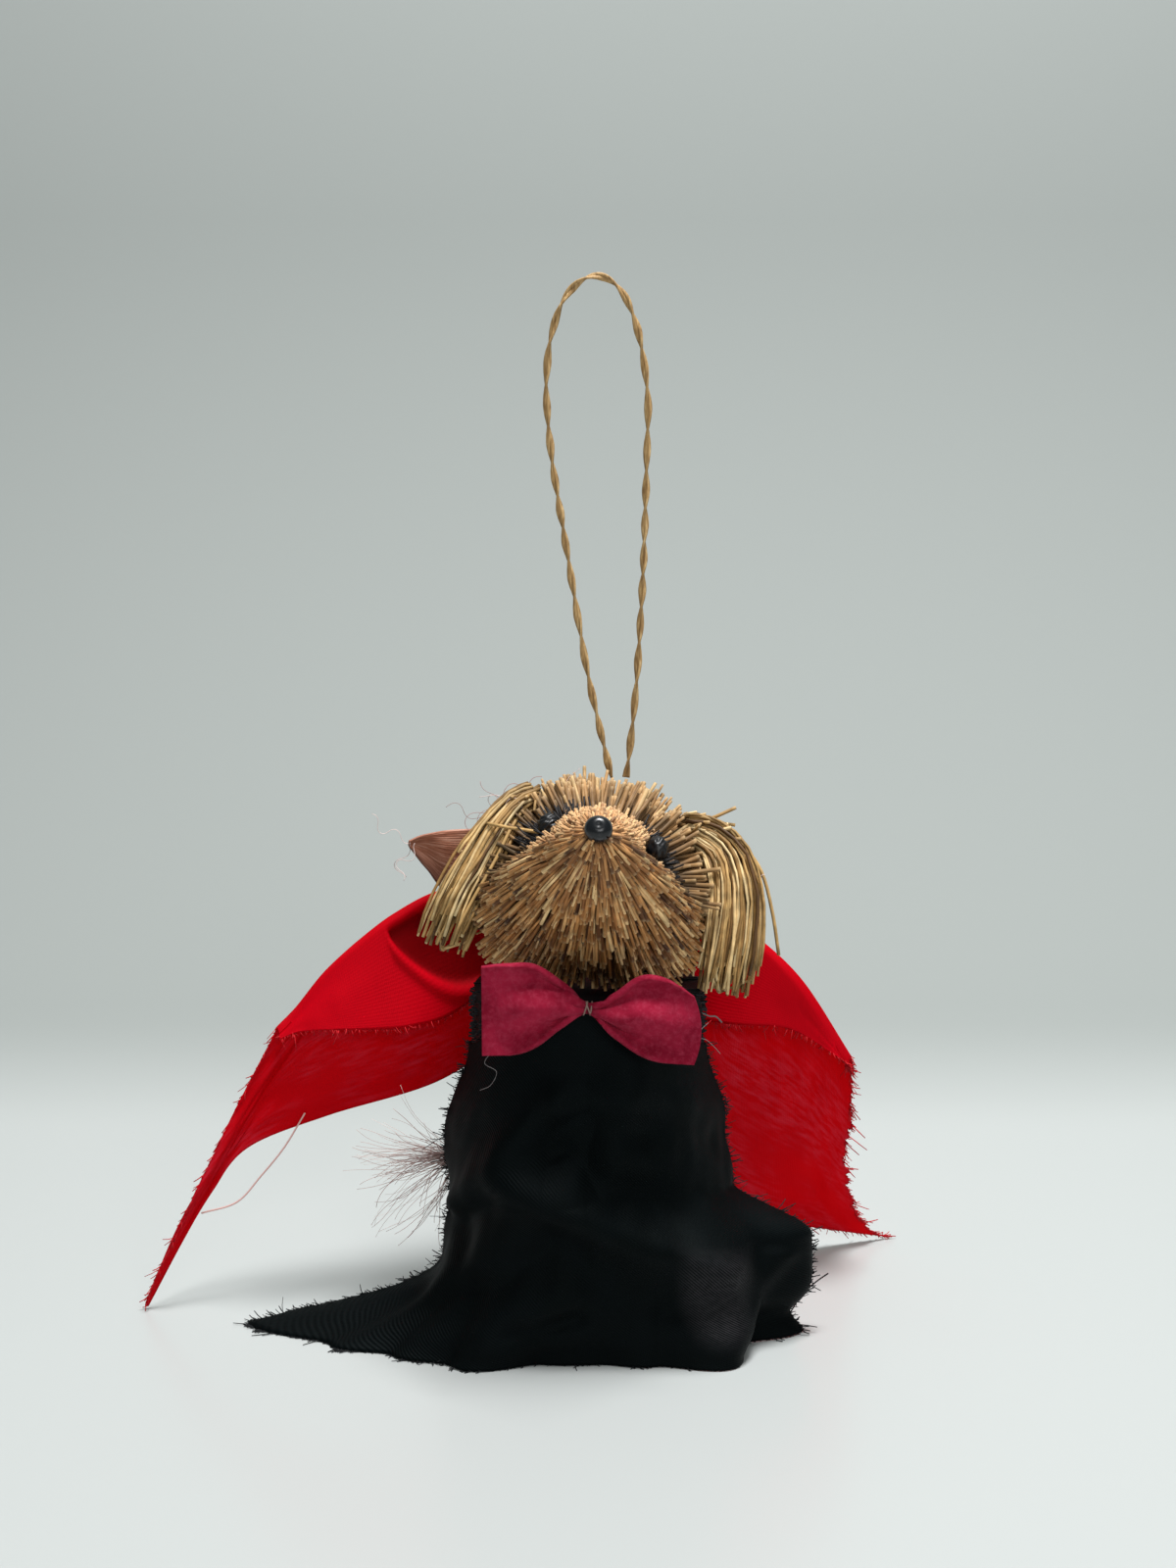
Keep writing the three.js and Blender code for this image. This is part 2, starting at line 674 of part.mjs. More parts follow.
// Materials
const finish = (color, roughness) =>
  new THREE.MeshStandardMaterial({ color, roughness, metalness: 0 });
const straw = finish("#b98f5c", 0.8);
const earStraw = finish("#c2a468", 0.75);
const blackBristle = finish("#151618", 0.85);
const blackBead = finish("#0c0e10", 0.2);
const blackCloth = finish("#0e1013", 0.9);
const redCloth = finish("#c00518", 0.85);
const felt = finish("#9c2a4c", 0.95);
const brownRibbon = finish("#5a2c20", 0.7);
const feather = finish("#c9b3b0", 0.9);
const cord = finish("#b08a57", 0.7);

const ornament = new THREE.Group();
function add(name, geometry, material) {
  const mesh = new THREE.Mesh(geometry, material);
  mesh.name = name;
  ornament.add(mesh);
}

const noseCut = bead(noseCentre(), NOSE_RADIUS + SEAT_GAP);
const eyeCuts = [leftEyeCentre(), rightEyeCentre()].map((centre) =>
  bead(centre, EYE_RADIUS + SEAT_GAP),
);

add("body", bodyGeometry(), blackBristle);
add("head", cutBy(headGeometry(), noseCut, ...eyeCuts), straw);
add("nose", bead(noseCentre(), NOSE_RADIUS), blackBead);
add("eye_left", bead(leftEyeCentre(), EYE_RADIUS), blackBead);
add("eye_right", bead(rightEyeCentre(), EYE_RADIUS), blackBead);
add("ear_left", earGeometry(LEFT_EAR_PATH, LEFT_EAR_WIDTH, LEFT_EAR_THICKNESS), earStraw);
add("ear_right", earGeometry(RIGHT_EAR_PATH, RIGHT_EAR_WIDTH, RIGHT_EAR_THICKNESS), earStraw);
add("gown", gownGeometry(), blackCloth);
add("bow_tie", bowGeometry(), felt);
add("cape", capeGeometry(), redCloth);
add("back_ribbon", ribbonGeometry(), brownRibbon);
add("tail_feather", featherGeometry(), feather);
add("hanging_loop", loopGeometry(), cord);

export default ornament;
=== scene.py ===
import math

import bpy
import numpy as np
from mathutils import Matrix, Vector


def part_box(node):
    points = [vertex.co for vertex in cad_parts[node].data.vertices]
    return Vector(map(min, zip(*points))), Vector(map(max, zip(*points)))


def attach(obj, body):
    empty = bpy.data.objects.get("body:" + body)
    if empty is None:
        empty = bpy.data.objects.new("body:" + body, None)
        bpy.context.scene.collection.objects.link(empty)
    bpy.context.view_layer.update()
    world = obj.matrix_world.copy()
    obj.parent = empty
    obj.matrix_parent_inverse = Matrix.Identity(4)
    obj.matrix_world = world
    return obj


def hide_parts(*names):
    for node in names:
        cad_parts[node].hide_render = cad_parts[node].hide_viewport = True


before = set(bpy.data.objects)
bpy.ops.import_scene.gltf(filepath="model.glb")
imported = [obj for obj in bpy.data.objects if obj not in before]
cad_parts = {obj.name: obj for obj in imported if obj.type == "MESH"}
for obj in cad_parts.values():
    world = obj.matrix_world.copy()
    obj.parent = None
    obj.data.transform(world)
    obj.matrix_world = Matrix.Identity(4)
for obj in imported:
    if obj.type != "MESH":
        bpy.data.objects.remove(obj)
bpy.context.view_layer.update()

# Lengths below are in millimetres, and MM turns them into metres where a mesh is made
MM = 0.001
random = np.random.default_rng(7)

# Camera
CAMERA_DISTANCE = 460
CAMERA_HEIGHT = 195
CAMERA_TILT_DEG = 10
SENSOR_WIDTH = 36
LENS = 52.27
CLIP_START = 10

# Sizes of the thread and cloth
CLOTH_GAP = 0.5
THREAD_RADIUS = 0.13
THREAD_TURN = 0.35
THREAD_BEND = 0.22
THREAD_SUNK = 0.4
GOWN_THICKNESS = 0.4
CAPE_THICKNESS = 0.35
BOW_THICKNESS = 1.3
RIBBON_THICKNESS = 0.4


def box_mm(node):
    low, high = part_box(node)
    return np.array(low) / MM, np.array(high) / MM


def middle_mm(node):
    low, high = box_mm(node)
    return (low + high) / 2


def mix(start, end, share):
    return start + (end - start) * share


def smooth(value, start, end):
    share = np.clip((value - start) / (end - start), 0, 1)
    return share * share * (3 - 2 * share)


def bell(value, middle, width):
    return np.exp(-(((value - middle) / width) ** 2))


def unit(vectors):
    return vectors / np.maximum(np.linalg.norm(vectors, axis=-1, keepdims=True), 1e-9)


def turned(vector, axis, degrees):
    angle = math.radians(degrees)
    flat = axis * np.dot(axis, vector) * (1 - math.cos(angle))
    return vector * math.cos(angle) + np.cross(axis, vector) * math.sin(angle) + flat


def around_body(angle_deg, radius, height):
    """Angle 0 is the front, and positive angles turn towards +X."""
    angle = np.radians(angle_deg)
    return np.stack(np.broadcast_arrays(radius * np.sin(angle), -radius * np.cos(angle), height), axis=-1)


def on_curve(controls, shares):
    """Points on a smooth curve through the controls, which are spread evenly over 0 to 1."""
    controls = np.asarray(controls, float)
    ends = [2 * controls[0] - controls[1]], [2 * controls[-1] - controls[-2]]
    padded = np.concatenate([ends[0], controls, ends[1]])
    place = np.clip(np.asarray(shares) * (len(controls) - 1), 0, len(controls) - 1 - 1e-9)
    start = place.astype(int)
    t = (place - start)[..., None]
    a, b, c, d = (padded[start + i] for i in range(4))
    return b + t * ((c - a) / 2 + t * ((a - 2.5 * b + 2 * c - d / 2) + t * ((d - a) / 2 + 1.5 * (b - c))))


def ripples(x, y, seed, waves, shortest, longest):
    """A smooth uneven height, about -1 to 1, from a few waves in random directions."""
    own = np.random.default_rng(seed)
    total = 0
    for _ in range(waves):
        length = own.uniform(shortest, longest)
        turn = own.uniform(0, math.pi)
        along = x * math.cos(turn) + y * math.sin(turn)
        total = total + np.sin(2 * math.pi * along / length + own.uniform(0, 2 * math.pi))
    return total / math.sqrt(waves)


def size_mm(node):
    low, high = box_mm(node)
    return high - low


# Meshes: a part is its points, its faces' corners and sizes, and its marks, one number a point
def part(points, faces, **marks):
    corners = np.concatenate([np.asarray(f).ravel() for f in faces])
    sizes = np.concatenate([np.full(len(f), np.shape(f)[1]) for f in faces])
    count = len(points)
    marks = {name: np.broadcast_to(value, (count,) + np.shape(value)[1:]) for name, value in marks.items()}
    return {"points": points, "corners": corners, "sizes": sizes, "marks": marks}


def ring_quads(rings, sides):
    """Faces between rings of points, numbered ring by ring."""
    s = np.arange(sides)
    n = (s + 1) % sides
    row = (np.arange(rings - 1) * sides)[:, None]
    return np.stack([row + s, row + n, row + sides + n, row + sides + s], axis=-1).reshape(-1, 4)


def tubes(paths, radii, sides=3, start_normal=None, **marks):
    """Many closed tubes: paths is tubes by rings by 3, and radii is tubes by rings."""
    count, rings = paths.shape[:2]
    run = unit(np.gradient(paths, axis=1))
    across = np.cross(run[:, rings // 2], random.normal(size=(count, 3)))
    if start_normal is not None:
        across = np.broadcast_to(start_normal, (count, 3))
    side = unit(across[:, None] - run * np.sum(across[:, None] * run, axis=2, keepdims=True))
    other = np.cross(run, side)
    turn = 2 * np.pi * np.arange(sides) / sides
    ring = side[:, :, None] * np.cos(turn)[:, None] + other[:, :, None] * np.sin(turn)[:, None]
    points = paths[:, :, None] + ring * radii[:, :, None, None]
    base = (np.arange(count) * rings * sides)[:, None]
    s = np.arange(sides)
    quads = (base[:, :, None] + ring_quads(rings, sides)).reshape(-1, 4)
    starts = base + s[::-1]
    ends = base + (rings - 1) * sides + s
    spread = {}
    for name, value in marks.items():
        value = np.reshape(value, np.shape(value) + (1,) * (3 - np.ndim(value)))
        spread[name] = np.broadcast_to(value, (count, rings, sides)).reshape(-1)
    return part(points.reshape(-1, 3), [quads, starts, ends], **spread)


def grid_normals(grid):
    return unit(np.cross(np.gradient(grid, axis=1), np.gradient(grid, axis=0)))


def sheet(grid, thickness, **marks):
    """A closed sheet of cloth: a grid of points thickened along its normals."""
    rows, columns = grid.shape[:2]
    half = grid_normals(grid) * thickness / 2
    points = np.stack([grid + half, grid - half])
    points[..., 2] = np.maximum(points[..., 2], 0)
    front, back = np.arange(2 * rows * columns).reshape(2, rows, columns)
    faces = [
        [front[:-1, :-1], front[:-1, 1:], front[1:, 1:], front[1:, :-1]],
        [back[:-1, :-1], back[1:, :-1], back[1:, 1:], back[:-1, 1:]],
        [front[:-1, 0], front[1:, 0], back[1:, 0], back[:-1, 0]],
        [front[1:, -1], front[:-1, -1], back[:-1, -1], back[1:, -1]],
        [front[0, 1:], front[0, :-1], back[0, :-1], back[0, 1:]],
        [front[-1, :-1], front[-1, 1:], back[-1, 1:], back[-1, :-1]],
    ]
    faces = [np.stack(corners, -1).reshape(-1, 4) for corners in faces]
    spread = {name: np.concatenate([value.reshape(rows * columns, -1)] * 2) for name, value in marks.items()}
    spread = {name: value[:, 0] if value.shape[1] == 1 else value for name, value in spread.items()}
    return part(points.reshape(-1, 3), faces, **spread)


def joined(*parts):
    starts = np.cumsum([0] + [len(p["points"]) for p in parts[:-1]])
    return {
        "points": np.concatenate([p["points"] for p in parts]),
        "corners": np.concatenate([p["corners"] + start for p, start in zip(parts, starts)]),
        "sizes": np.concatenate([p["sizes"] for p in parts]),
        "marks": {name: np.concatenate([p["marks"][name] for p in parts]) for name in parts[0]["marks"]},
    }


def add_piece(name, shape, material, node=None):
    """An object on the one body that, if it has one, hides the node that it replaces."""
    mesh = bpy.data.meshes.new(name)
    mesh.vertices.add(len(shape["points"]))
    mesh.vertices.foreach_set("co", (shape["points"] * MM).astype(np.float32).ravel())
    mesh.loops.add(len(shape["corners"]))
    mesh.loops.foreach_set("vertex_index", shape["corners"].astype(np.int32))
    mesh.polygons.add(len(shape["sizes"]))
    starts = np.concatenate([[0], np.cumsum(shape["sizes"])[:-1]]).astype(np.int32)
    mesh.polygons.foreach_set("loop_start", starts)
    mesh.polygons.foreach_set("use_smooth", np.ones(len(starts), bool))
    mesh.update(calc_edges=True)
    mesh.validate()
    for mark, values in shape["marks"].items():
        kind, field = ("FLOAT", "value") if values.ndim == 1 else ("FLOAT_VECTOR", "vector")
        data = mesh.attributes.new(mark, kind, "POINT").data
        data.foreach_set(field, values.astype(np.float32).ravel())
    mesh.materials.append(material)
    piece = bpy.data.objects.new(name, mesh)
    bpy.context.scene.collection.objects.link(piece)
    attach(piece, "root")
    if node:
        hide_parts(node)
    return piece


def ball(centre, radius, shape, columns=64, rows=40):
    """A closed ball; shape(direction) gives the share of the radius in each direction."""
    turn = 2 * np.pi * np.arange(columns) / columns
    fall = (np.pi * np.arange(1, rows) / rows)[:, None]
    ring = np.broadcast_arrays(np.sin(fall) * np.cos(turn), np.sin(fall) * np.sin(turn), np.cos(fall))
    directions = np.concatenate([np.stack(ring, axis=-1).reshape(-1, 3), [[0, 0, 1], [0, 0, -1]]])
    points = centre + directions * shape(directions)[:, None] * radius
    c = np.arange(columns)
    n = (c + 1) % columns
    last = (rows - 2) * columns
    caps = [
        np.stack([np.full(columns, len(points) - 2), c, n], -1),
        np.stack([np.full(columns, len(points) - 1), last + n, last + c], -1),
    ]
    return part(points, [ring_quads(rows - 1, columns)[:, [0, 3, 2, 1]]] + caps)


# Materials
def srgb(red, green, blue):
    def linear(value):
        share = value / 255
        return share / 12.92 if share <= 0.04045 else ((share + 0.055) / 1.055) ** 2.4

    return (linear(red), linear(green), linear(blue), 1)


class Finish:
    """A material's node tree, with short ways to add nodes to it."""

    def __init__(self, name, roughness, specular=0.3):
        self.material = bpy.data.materials.new(name)
        self.material.use_nodes = True
        self.tree = self.material.node_tree
        self.shader = self.tree.nodes["Principled BSDF"]
        self.shader.inputs["Roughness"].default_value = roughness
        self.shader.inputs["Specular IOR Level"].default_value = specular

    def node(self, kind, values, **settings):
        made = self.tree.nodes.new(kind)
        for key, value in settings.items():
            setattr(made, key, value)
        for socket, value in values.items():
            if isinstance(value, bpy.types.NodeSocket):
                self.tree.links.new(value, made.inputs[socket])
            else:
                made.inputs[socket].default_value = value
        return made

    def mark(self, name, output="Fac"):
        return self.node("ShaderNodeAttribute", {}, attribute_name=name).outputs[output]

    def mixed(self, share, first, second, blend="MIX"):
        values = {0: share, 6: first, 7: second}
        return self.node("ShaderNodeMix", values, data_type="RGBA", blend_type=blend).outputs[2]

    def fitted(self, value, low, high, to_low=0.0, to_high=1.0):
        values = {0: value, 1: low, 2: high, 3: to_low, 4: to_high}
        return self.node("ShaderNodeMapRange", values).outputs[0]

    def times(self, first, second):
        return self.node("ShaderNodeMath", {0: first, 1: second}, operation="MULTIPLY").outputs[0]

    def plus(self, first, second):
        return self.node("ShaderNodeMath", {0: first, 1: second}, operation="ADD").outputs[0]

    def object_place(self):
        return self.node("ShaderNodeTexCoord", {}).outputs["Object"]

    def scaled(self, vector, scale):
        return self.node("ShaderNodeMapping", {"Vector": vector, "Scale": scale}).outputs[0]

    def noise(self, vector, scale, detail=2.0, roughness=0.5):
        values = {"Vector": vector, "Scale": scale, "Detail": detail, "Roughness": roughness}
        return self.node("ShaderNodeTexNoise", values).outputs[0]

    def wave(self, vector, scale, direction, distortion=0.0):
        values = {"Vector": vector, "Scale": scale, "Distortion": distortion, "Detail": 1.0}
        return self.node("ShaderNodeTexWave", values, bands_direction=direction).outputs["Fac"]

    def ramp(self, share, stops):
        made = self.node("ShaderNodeValToRGB", {0: share})
        elements = made.color_ramp.elements
        while len(elements) < len(stops):
            elements.new(0.5)
        for element, (place, colour) in zip(elements, stops):
            element.position = place
            element.color = colour
        return made.outputs[0]

    def colour(self, colour):
        self.tree.links.new(colour, self.shader.inputs["Base Color"])

    def bump(self, height, strength, depth):
        values = {"Height": height, "Strength": strength, "Distance": depth * MM}
        normal = self.node("ShaderNodeBump", values).outputs[0]
        self.tree.links.new(normal, self.shader.inputs["Normal"])

    def let_light_through(self, colour, share):
        output = self.tree.nodes["Material Output"]
        thin = self.node("ShaderNodeBsdfTranslucent", {"Color": colour})
        both = self.node("ShaderNodeMixShader", {0: share, 1: self.shader.outputs[0], 2: thin.outputs[0]})
        self.tree.links.new(both.outputs[0], output.inputs["Surface"])


def straw_finish(name, stops, root, on_head=True):
    finish = Finish(name, roughness=0.6, specular=0.35)
    place = finish.object_place()
    colour = finish.ramp(finish.mark("tint"), stops)
    if on_head:
        colour = finish.mixed(finish.times(finish.mark("rosy"), 0.5), colour, srgb(186, 142, 104))
        colour = finish.mixed(finish.times(finish.mark("gold"), 0.6), colour, srgb(134, 112, 78))
    streaks = finish.fitted(finish.noise(place, 420, detail=3), 0.3, 0.7, 0.65, 1.25)
    grey = finish.node("ShaderNodeCombineColor", {0: streaks, 1: streaks, 2: streaks}).outputs[0]
    colour = finish.mixed(1.0, colour, grey, "MULTIPLY")
    along = finish.mark("along")
    # Painted shade: each straw is darker towards its root, where the straws shade each other.
    colour = finish.mixed(finish.fitted(along, 0.15, 0.65), root, colour)
    colour = finish.mixed(finish.fitted(along, 0.94, 1.0, 0.0, 0.35), colour, srgb(226, 196, 150))
    if on_head:
        # Black dye beside the eyes, and painted shade on the dark core under the straw.
        colour = finish.mixed(finish.mark("dye"), colour, srgb(14, 14, 17))
    finish.colour(colour)
    finish.bump(finish.noise(place, 1500, detail=2), 0.25, 0.1)
    return finish.material


def head_straw_finish():
    stops = [
        (0.0, srgb(70, 38, 16)),
        (0.3, srgb(146, 94, 46)),
        (0.7, srgb(202, 146, 86)),
        (1.0, srgb(244, 206, 148)),
    ]
    # The last colour is the painted shade at the straws' roots.
    return straw_finish("straw", stops, srgb(38, 20, 8))


def ear_straw_finish():
    stops = [
        (0.0, srgb(88, 60, 28)),
        (0.35, srgb(150, 114, 64)),
        (0.7, srgb(190, 154, 98)),
        (1.0, srgb(224, 198, 148)),
    ]
    # The last colour is the painted shade at the straws' roots.
    return straw_finish("ear_straw", stops, srgb(60, 38, 18), on_head=False)


def black_bristle_finish():
    finish = Finish("black_bristle", roughness=0.6, specular=0.3)
    finish.colour(finish.ramp(finish.mark("tint"), [(0.0, srgb(10, 11, 13)), (1.0, srgb(40, 41, 46))]))
    return finish.material


def bead_finish():
    finish = Finish("black_bead", roughness=0.27, specular=0.45)
    finish.shader.inputs["Base Color"].default_value = srgb(12, 15, 19)
    finish.bump(finish.noise(finish.object_place(), 900, detail=3), 0.15, 0.1)
    return finish.material


def eye_finish():
    return plain_finish("eye_bead", srgb(14, 15, 18), 0.38, 0.4)


def black_cloth_finish():
    finish = Finish("black_cloth", roughness=0.6, specular=0.085)
    finish.shader.inputs["Specular Tint"].default_value = srgb(205, 228, 230)
    cloth = finish.mark("cloth", "Vector")
    slant = finish.node("ShaderNodeVectorRotate", {"Vector": cloth, "Angle": 0.85}, rotation_type="Z_AXIS")
    twill = finish.wave(slant.outputs[0], 0.7, "X", 0.4)
    uneven = finish.noise(cloth, 0.12, detail=4)
    colour = finish.mixed(finish.fitted(uneven, 0.35, 0.7), srgb(0, 1, 1), srgb(1, 3, 4))
    colour = finish.mixed(finish.times(twill, 0.35), colour, srgb(4, 7, 9))
    weave = finish.plus(twill, finish.noise(cloth, 0.9, detail=4))
    # Painted light: the thin patch is lighter in the weave's pattern, as light showing through the cloth.
    sheer = finish.times(finish.mark("sheer"), finish.fitted(weave, 0.5, 1.5, 0.05, 0.9))
    colour = finish.mixed(sheer, colour, srgb(58, 55, 58))
    finish.colour(colour)
    finish.bump(finish.plus(twill, finish.times(finish.noise(cloth, 1.6, detail=2), 1.2)), 0.45, 0.12)
    return finish.material


def red_cloth_finish():
    finish = Finish("red_cloth", roughness=0.65, specular=0.07)
    cloth = finish.mark("cloth", "Vector")
    flap = finish.mark("flap")
    streaks = finish.noise(finish.scaled(cloth, (0.22, 0.9, 1)), 1.0, detail=4, roughness=0.6)
    patches = finish.noise(cloth, 0.06, detail=2)
    mottle = finish.times(finish.fitted(streaks, 0.42, 0.68), finish.fitted(patches, 0.42, 0.6))
    mottle = finish.times(mottle, finish.fitted(flap, 0.0, 1.0, 0.75, 0.0))
    colour = finish.mixed(mottle, srgb(205, 0, 20), srgb(214, 60, 84))
    colour = finish.mixed(flap, colour, srgb(212, 0, 26))
    # Painted shade: the hollow in the flap beside the neck is coloured dark red.
    colour = finish.mixed(finish.mark("deep"), colour, srgb(128, 0, 8))
    finish.colour(colour)
    threads = finish.plus(finish.wave(cloth, 0.55, "X"), finish.wave(cloth, 0.55, "Y"))
    finish.bump(threads, 0.22, 0.12)
    finish.let_light_through(srgb(235, 4, 28), 0.48)
    return finish.material


def felt_finish():
    finish = Finish("raspberry_felt", roughness=0.95, specular=0.12)
    finish.shader.inputs["Sheen Weight"].default_value = 0.1
    finish.shader.inputs["Sheen Tint"].default_value = srgb(230, 100, 130)
    place = finish.object_place()
    fibres = finish.noise(place, 900, detail=4, roughness=0.65)
    patches = finish.noise(place, 160, detail=3)
    colour = finish.mixed(finish.fitted(patches, 0.35, 0.65), srgb(120, 10, 36), srgb(152, 26, 54))
    colour = finish.mixed(finish.fitted(fibres, 0.45, 0.75, 0.0, 0.4), colour, srgb(176, 62, 86))
    # Painted shade: the felt is darker at the pinched knot, where its pleats shade each other.
    finish.colour(finish.mixed(finish.times(finish.mark("pinch"), 0.7), colour, srgb(52, 6, 16)))
    finish.bump(fibres, 0.5, 0.3)
    return finish.material


def ribbon_finish():
    finish = Finish("brown_ribbon", roughness=0.55, specular=0.35)
    cloth = finish.mark("cloth", "Vector")
    streaks = finish.noise(finish.scaled(cloth, (0.12, 1.6, 1)), 1.0, detail=4, roughness=0.6)
    stops = [(0.3, srgb(112, 62, 44)), (0.5, srgb(160, 102, 78)), (0.72, srgb(206, 158, 136))]
    colour = finish.ramp(streaks, stops)
    # Painted shade: the ribbon darkens towards its lower edge.
    finish.colour(finish.mixed(finish.mark("low"), colour, srgb(36, 18, 15)))
    finish.bump(finish.wave(cloth, 0.7, "Y"), 0.3, 0.12)
    return finish.material


def feather_finish():
    finish = Finish("pale_feather", roughness=0.8, specular=0.2)
    finish.colour(finish.ramp(finish.mark("tint"), [(0.0, srgb(160, 122, 118)), (1.0, srgb(232, 212, 206))]))
    return finish.material


def cord_finish():
    finish = Finish("twisted_cord", roughness=0.6, specular=0.35)
    place = finish.object_place()
    streaks = finish.noise(finish.scaled(place, (1, 1, 0.12)), 2200, detail=3)
    stops = [(0.3, srgb(128, 96, 56)), (0.55, srgb(172, 138, 90)), (0.75, srgb(206, 178, 130))]
    finish.colour(finish.ramp(streaks, stops))
    finish.bump(streaks, 0.4, 0.15)
    return finish.material


def card_finish():
    finish = Finish("floor_card", roughness=0.28, specular=0.5)
    wall = finish.mark("wall")
    # Painted shade: the wall is coloured greyer than the floor.
    finish.colour(finish.mixed(wall, srgb(180, 184, 183), srgb(150, 155, 153)))
    finish.tree.links.new(finish.fitted(wall, 0.0, 0.3, 0.28, 0.9), finish.shader.inputs["Roughness"])
    return finish.material


def plain_finish(name, colour, roughness, specular=0.3):
    finish = Finish(name, roughness, specular)
    finish.shader.inputs["Base Color"].default_value = colour
    return finish.material


def add_camera():
    data = bpy.data.cameras.new("camera")
    data.sensor_width = SENSOR_WIDTH
    data.lens = LENS
    data.clip_start = CLIP_START * MM
    camera = bpy.data.objects.new("camera", data)
    camera.location = (0, -CAMERA_DISTANCE * MM, CAMERA_HEIGHT * MM)
    camera.rotation_euler = (math.radians(90 - CAMERA_TILT_DEG), 0, 0)
    bpy.context.scene.collection.objects.link(camera)
    bpy.context.scene.camera = camera


add_camera()

# Places that the frame gives
BODY_LOW, BODY_HIGH = box_mm("body")
BODY_RADIUS = (BODY_HIGH[0] - BODY_LOW[0]) / 2
BODY_HEIGHT = BODY_HIGH[2]
HEAD_RADIUS = 23
MUZZLE_LENGTH = 34
HEAD_BACK = 15
HEAD_PITCH_DEG = 33
HEAD_ROLL_DEG = 8
HEAD_YAW_DEG = 2
WORLD_X = np.array([1.0, 0, 0])
WORLD_Z = np.array([0, 0, 1.0])
forward = turned(turned(np.array([0, -1.0, 0]), WORLD_X, -HEAD_PITCH_DEG), WORLD_Z, HEAD_YAW_DEG)
level = turned(turned(WORLD_Z, WORLD_X, -HEAD_PITCH_DEG), WORLD_Z, HEAD_YAW_DEG)
up = turned(level, forward, -HEAD_ROLL_DEG)
aside = np.cross(forward, up)
NOSE_CENTRE = middle_mm("nose")
HEAD_CENTRE = NOSE_CENTRE - forward * MUZZLE_LENGTH
LEFT_EYE_TURN_DEG = 48
RIGHT_EYE_TURN_DEG = 59
EYE_FORWARD = 10

# Hanging loop: sideways and up from the middle of the head, from the left leg over the top
# and down the right leg
LOOP_BACK = 10
LOOP_ROUTE = [
    [3.9, 20.9], [1.5, 31.2], [-1, 42.5], [-2.8, 52.7], [-4.8, 64.9],
    [-6.8, 76.9], [-8.4, 86.9], [-9.4, 97.6], [-9.4, 104.6], [-8.5, 111.5],
    [-6.3, 118.1], [-3.4, 121.8], [0, 123.5], [3.4, 122.7], [6.5, 119.4],
    [8.9, 113.4], [10.3, 106.6], [11.2, 98.4], [11, 86.9], [10.7, 74.9],
    [10.3, 62.8], [9.8, 52.7], [9.2, 42.5], [8.2, 31.2], [7, 20.9],
]
LOOP_RINGS = 640
LOOP_TWIST = 15
PLY_OFFSET = 0.38
PLY_HALF_WIDTH = 0.44
PLY_HALF_THICKNESS = 0.3
PLY_SIDES = 10
PLY_WOBBLE = 0.12
PLY_WOBBLE_STEP = 2.7
UNEVEN_TWIST = 0.5
UNEVEN_TWIST_STEP = 9


def loop_shape():
    """Two flat plies twisted round each other, the path that they follow, and its length."""
    route = [[HEAD_CENTRE[0] + x, LOOP_BACK, HEAD_CENTRE[2] + z] for x, z in LOOP_ROUTE]
    path = on_curve(route, np.linspace(0, 1, LOOP_RINGS))
    steps = np.linalg.norm(np.diff(path, axis=0), axis=1)
    travelled = np.concatenate([[0], np.cumsum(steps)])
    run = unit(np.gradient(path, axis=0))
    side = np.array([0, 1.0, 0])
    other = np.cross(run, side)
    uneven = UNEVEN_TWIST * np.sin(travelled / UNEVEN_TWIST_STEP)
    twist = 2 * np.pi * travelled / LOOP_TWIST + uneven
    broad = side * np.cos(twist)[:, None] + other * np.sin(twist)[:, None]
    deep = np.cross(run, broad)
    turn = 2 * np.pi * np.arange(PLY_SIDES) / PLY_SIDES
    s = np.arange(PLY_SIDES)
    caps = [s[None, ::-1], (LOOP_RINGS - 1) * PLY_SIDES + s[None]]
    plies = []
    for way in (-1, 1):
        wobble = 1 + PLY_WOBBLE * np.sin(travelled / PLY_WOBBLE_STEP + way)
        middle = path + broad * way * PLY_OFFSET
        wide = broad[:, None] * (PLY_HALF_WIDTH * wobble[:, None] * np.cos(turn))[:, :, None]
        thick = deep[:, None] * (PLY_HALF_THICKNESS * np.sin(turn))[None, :, None]
        points = (middle[:, None] + (wide + thick)).reshape(-1, 3)
        plies.append(part(points, [ring_quads(LOOP_RINGS, PLY_SIDES)] + caps))
    return joined(*plies), path, travelled[-1]


def add_loop():
    shape, path, length = loop_shape()
    loop = add_piece("cord_loop", shape, cord_finish(), "hanging_loop")


add_loop()

# Head: the brush's outline, as in the frame
MUZZLE_TOP_CUT = 6.3
MUZZLE_FULL_DEG = 72
MUZZLE_END_DEG = 112
CHIN_CUT = 5.5
CHIN_SPREAD_DEG = 34
JOWL_RISE = 2.4
JOWL_TURN_DEG = 126
JOWL_SPREAD_DEG = 24
CROWN_RISE = 5.5
CROWN_FULL_DEG = 70
CROWN_END_DEG = 105
CROWN_DEPTH = 5
CROWN_BACK = 7
CROWN_GROOVE = 2.2
CROWN_GROOVE_WIDTH = 2
SOCKET_DEPTH = 1.6
SOCKET_REACH = 4
SOCKET_SPREAD_DEG = 16
CORE_DEPTH = 4
CORE_COLUMNS = 72
HEAD_NOSE_END = 32.4
GROOVE_END = 5.5

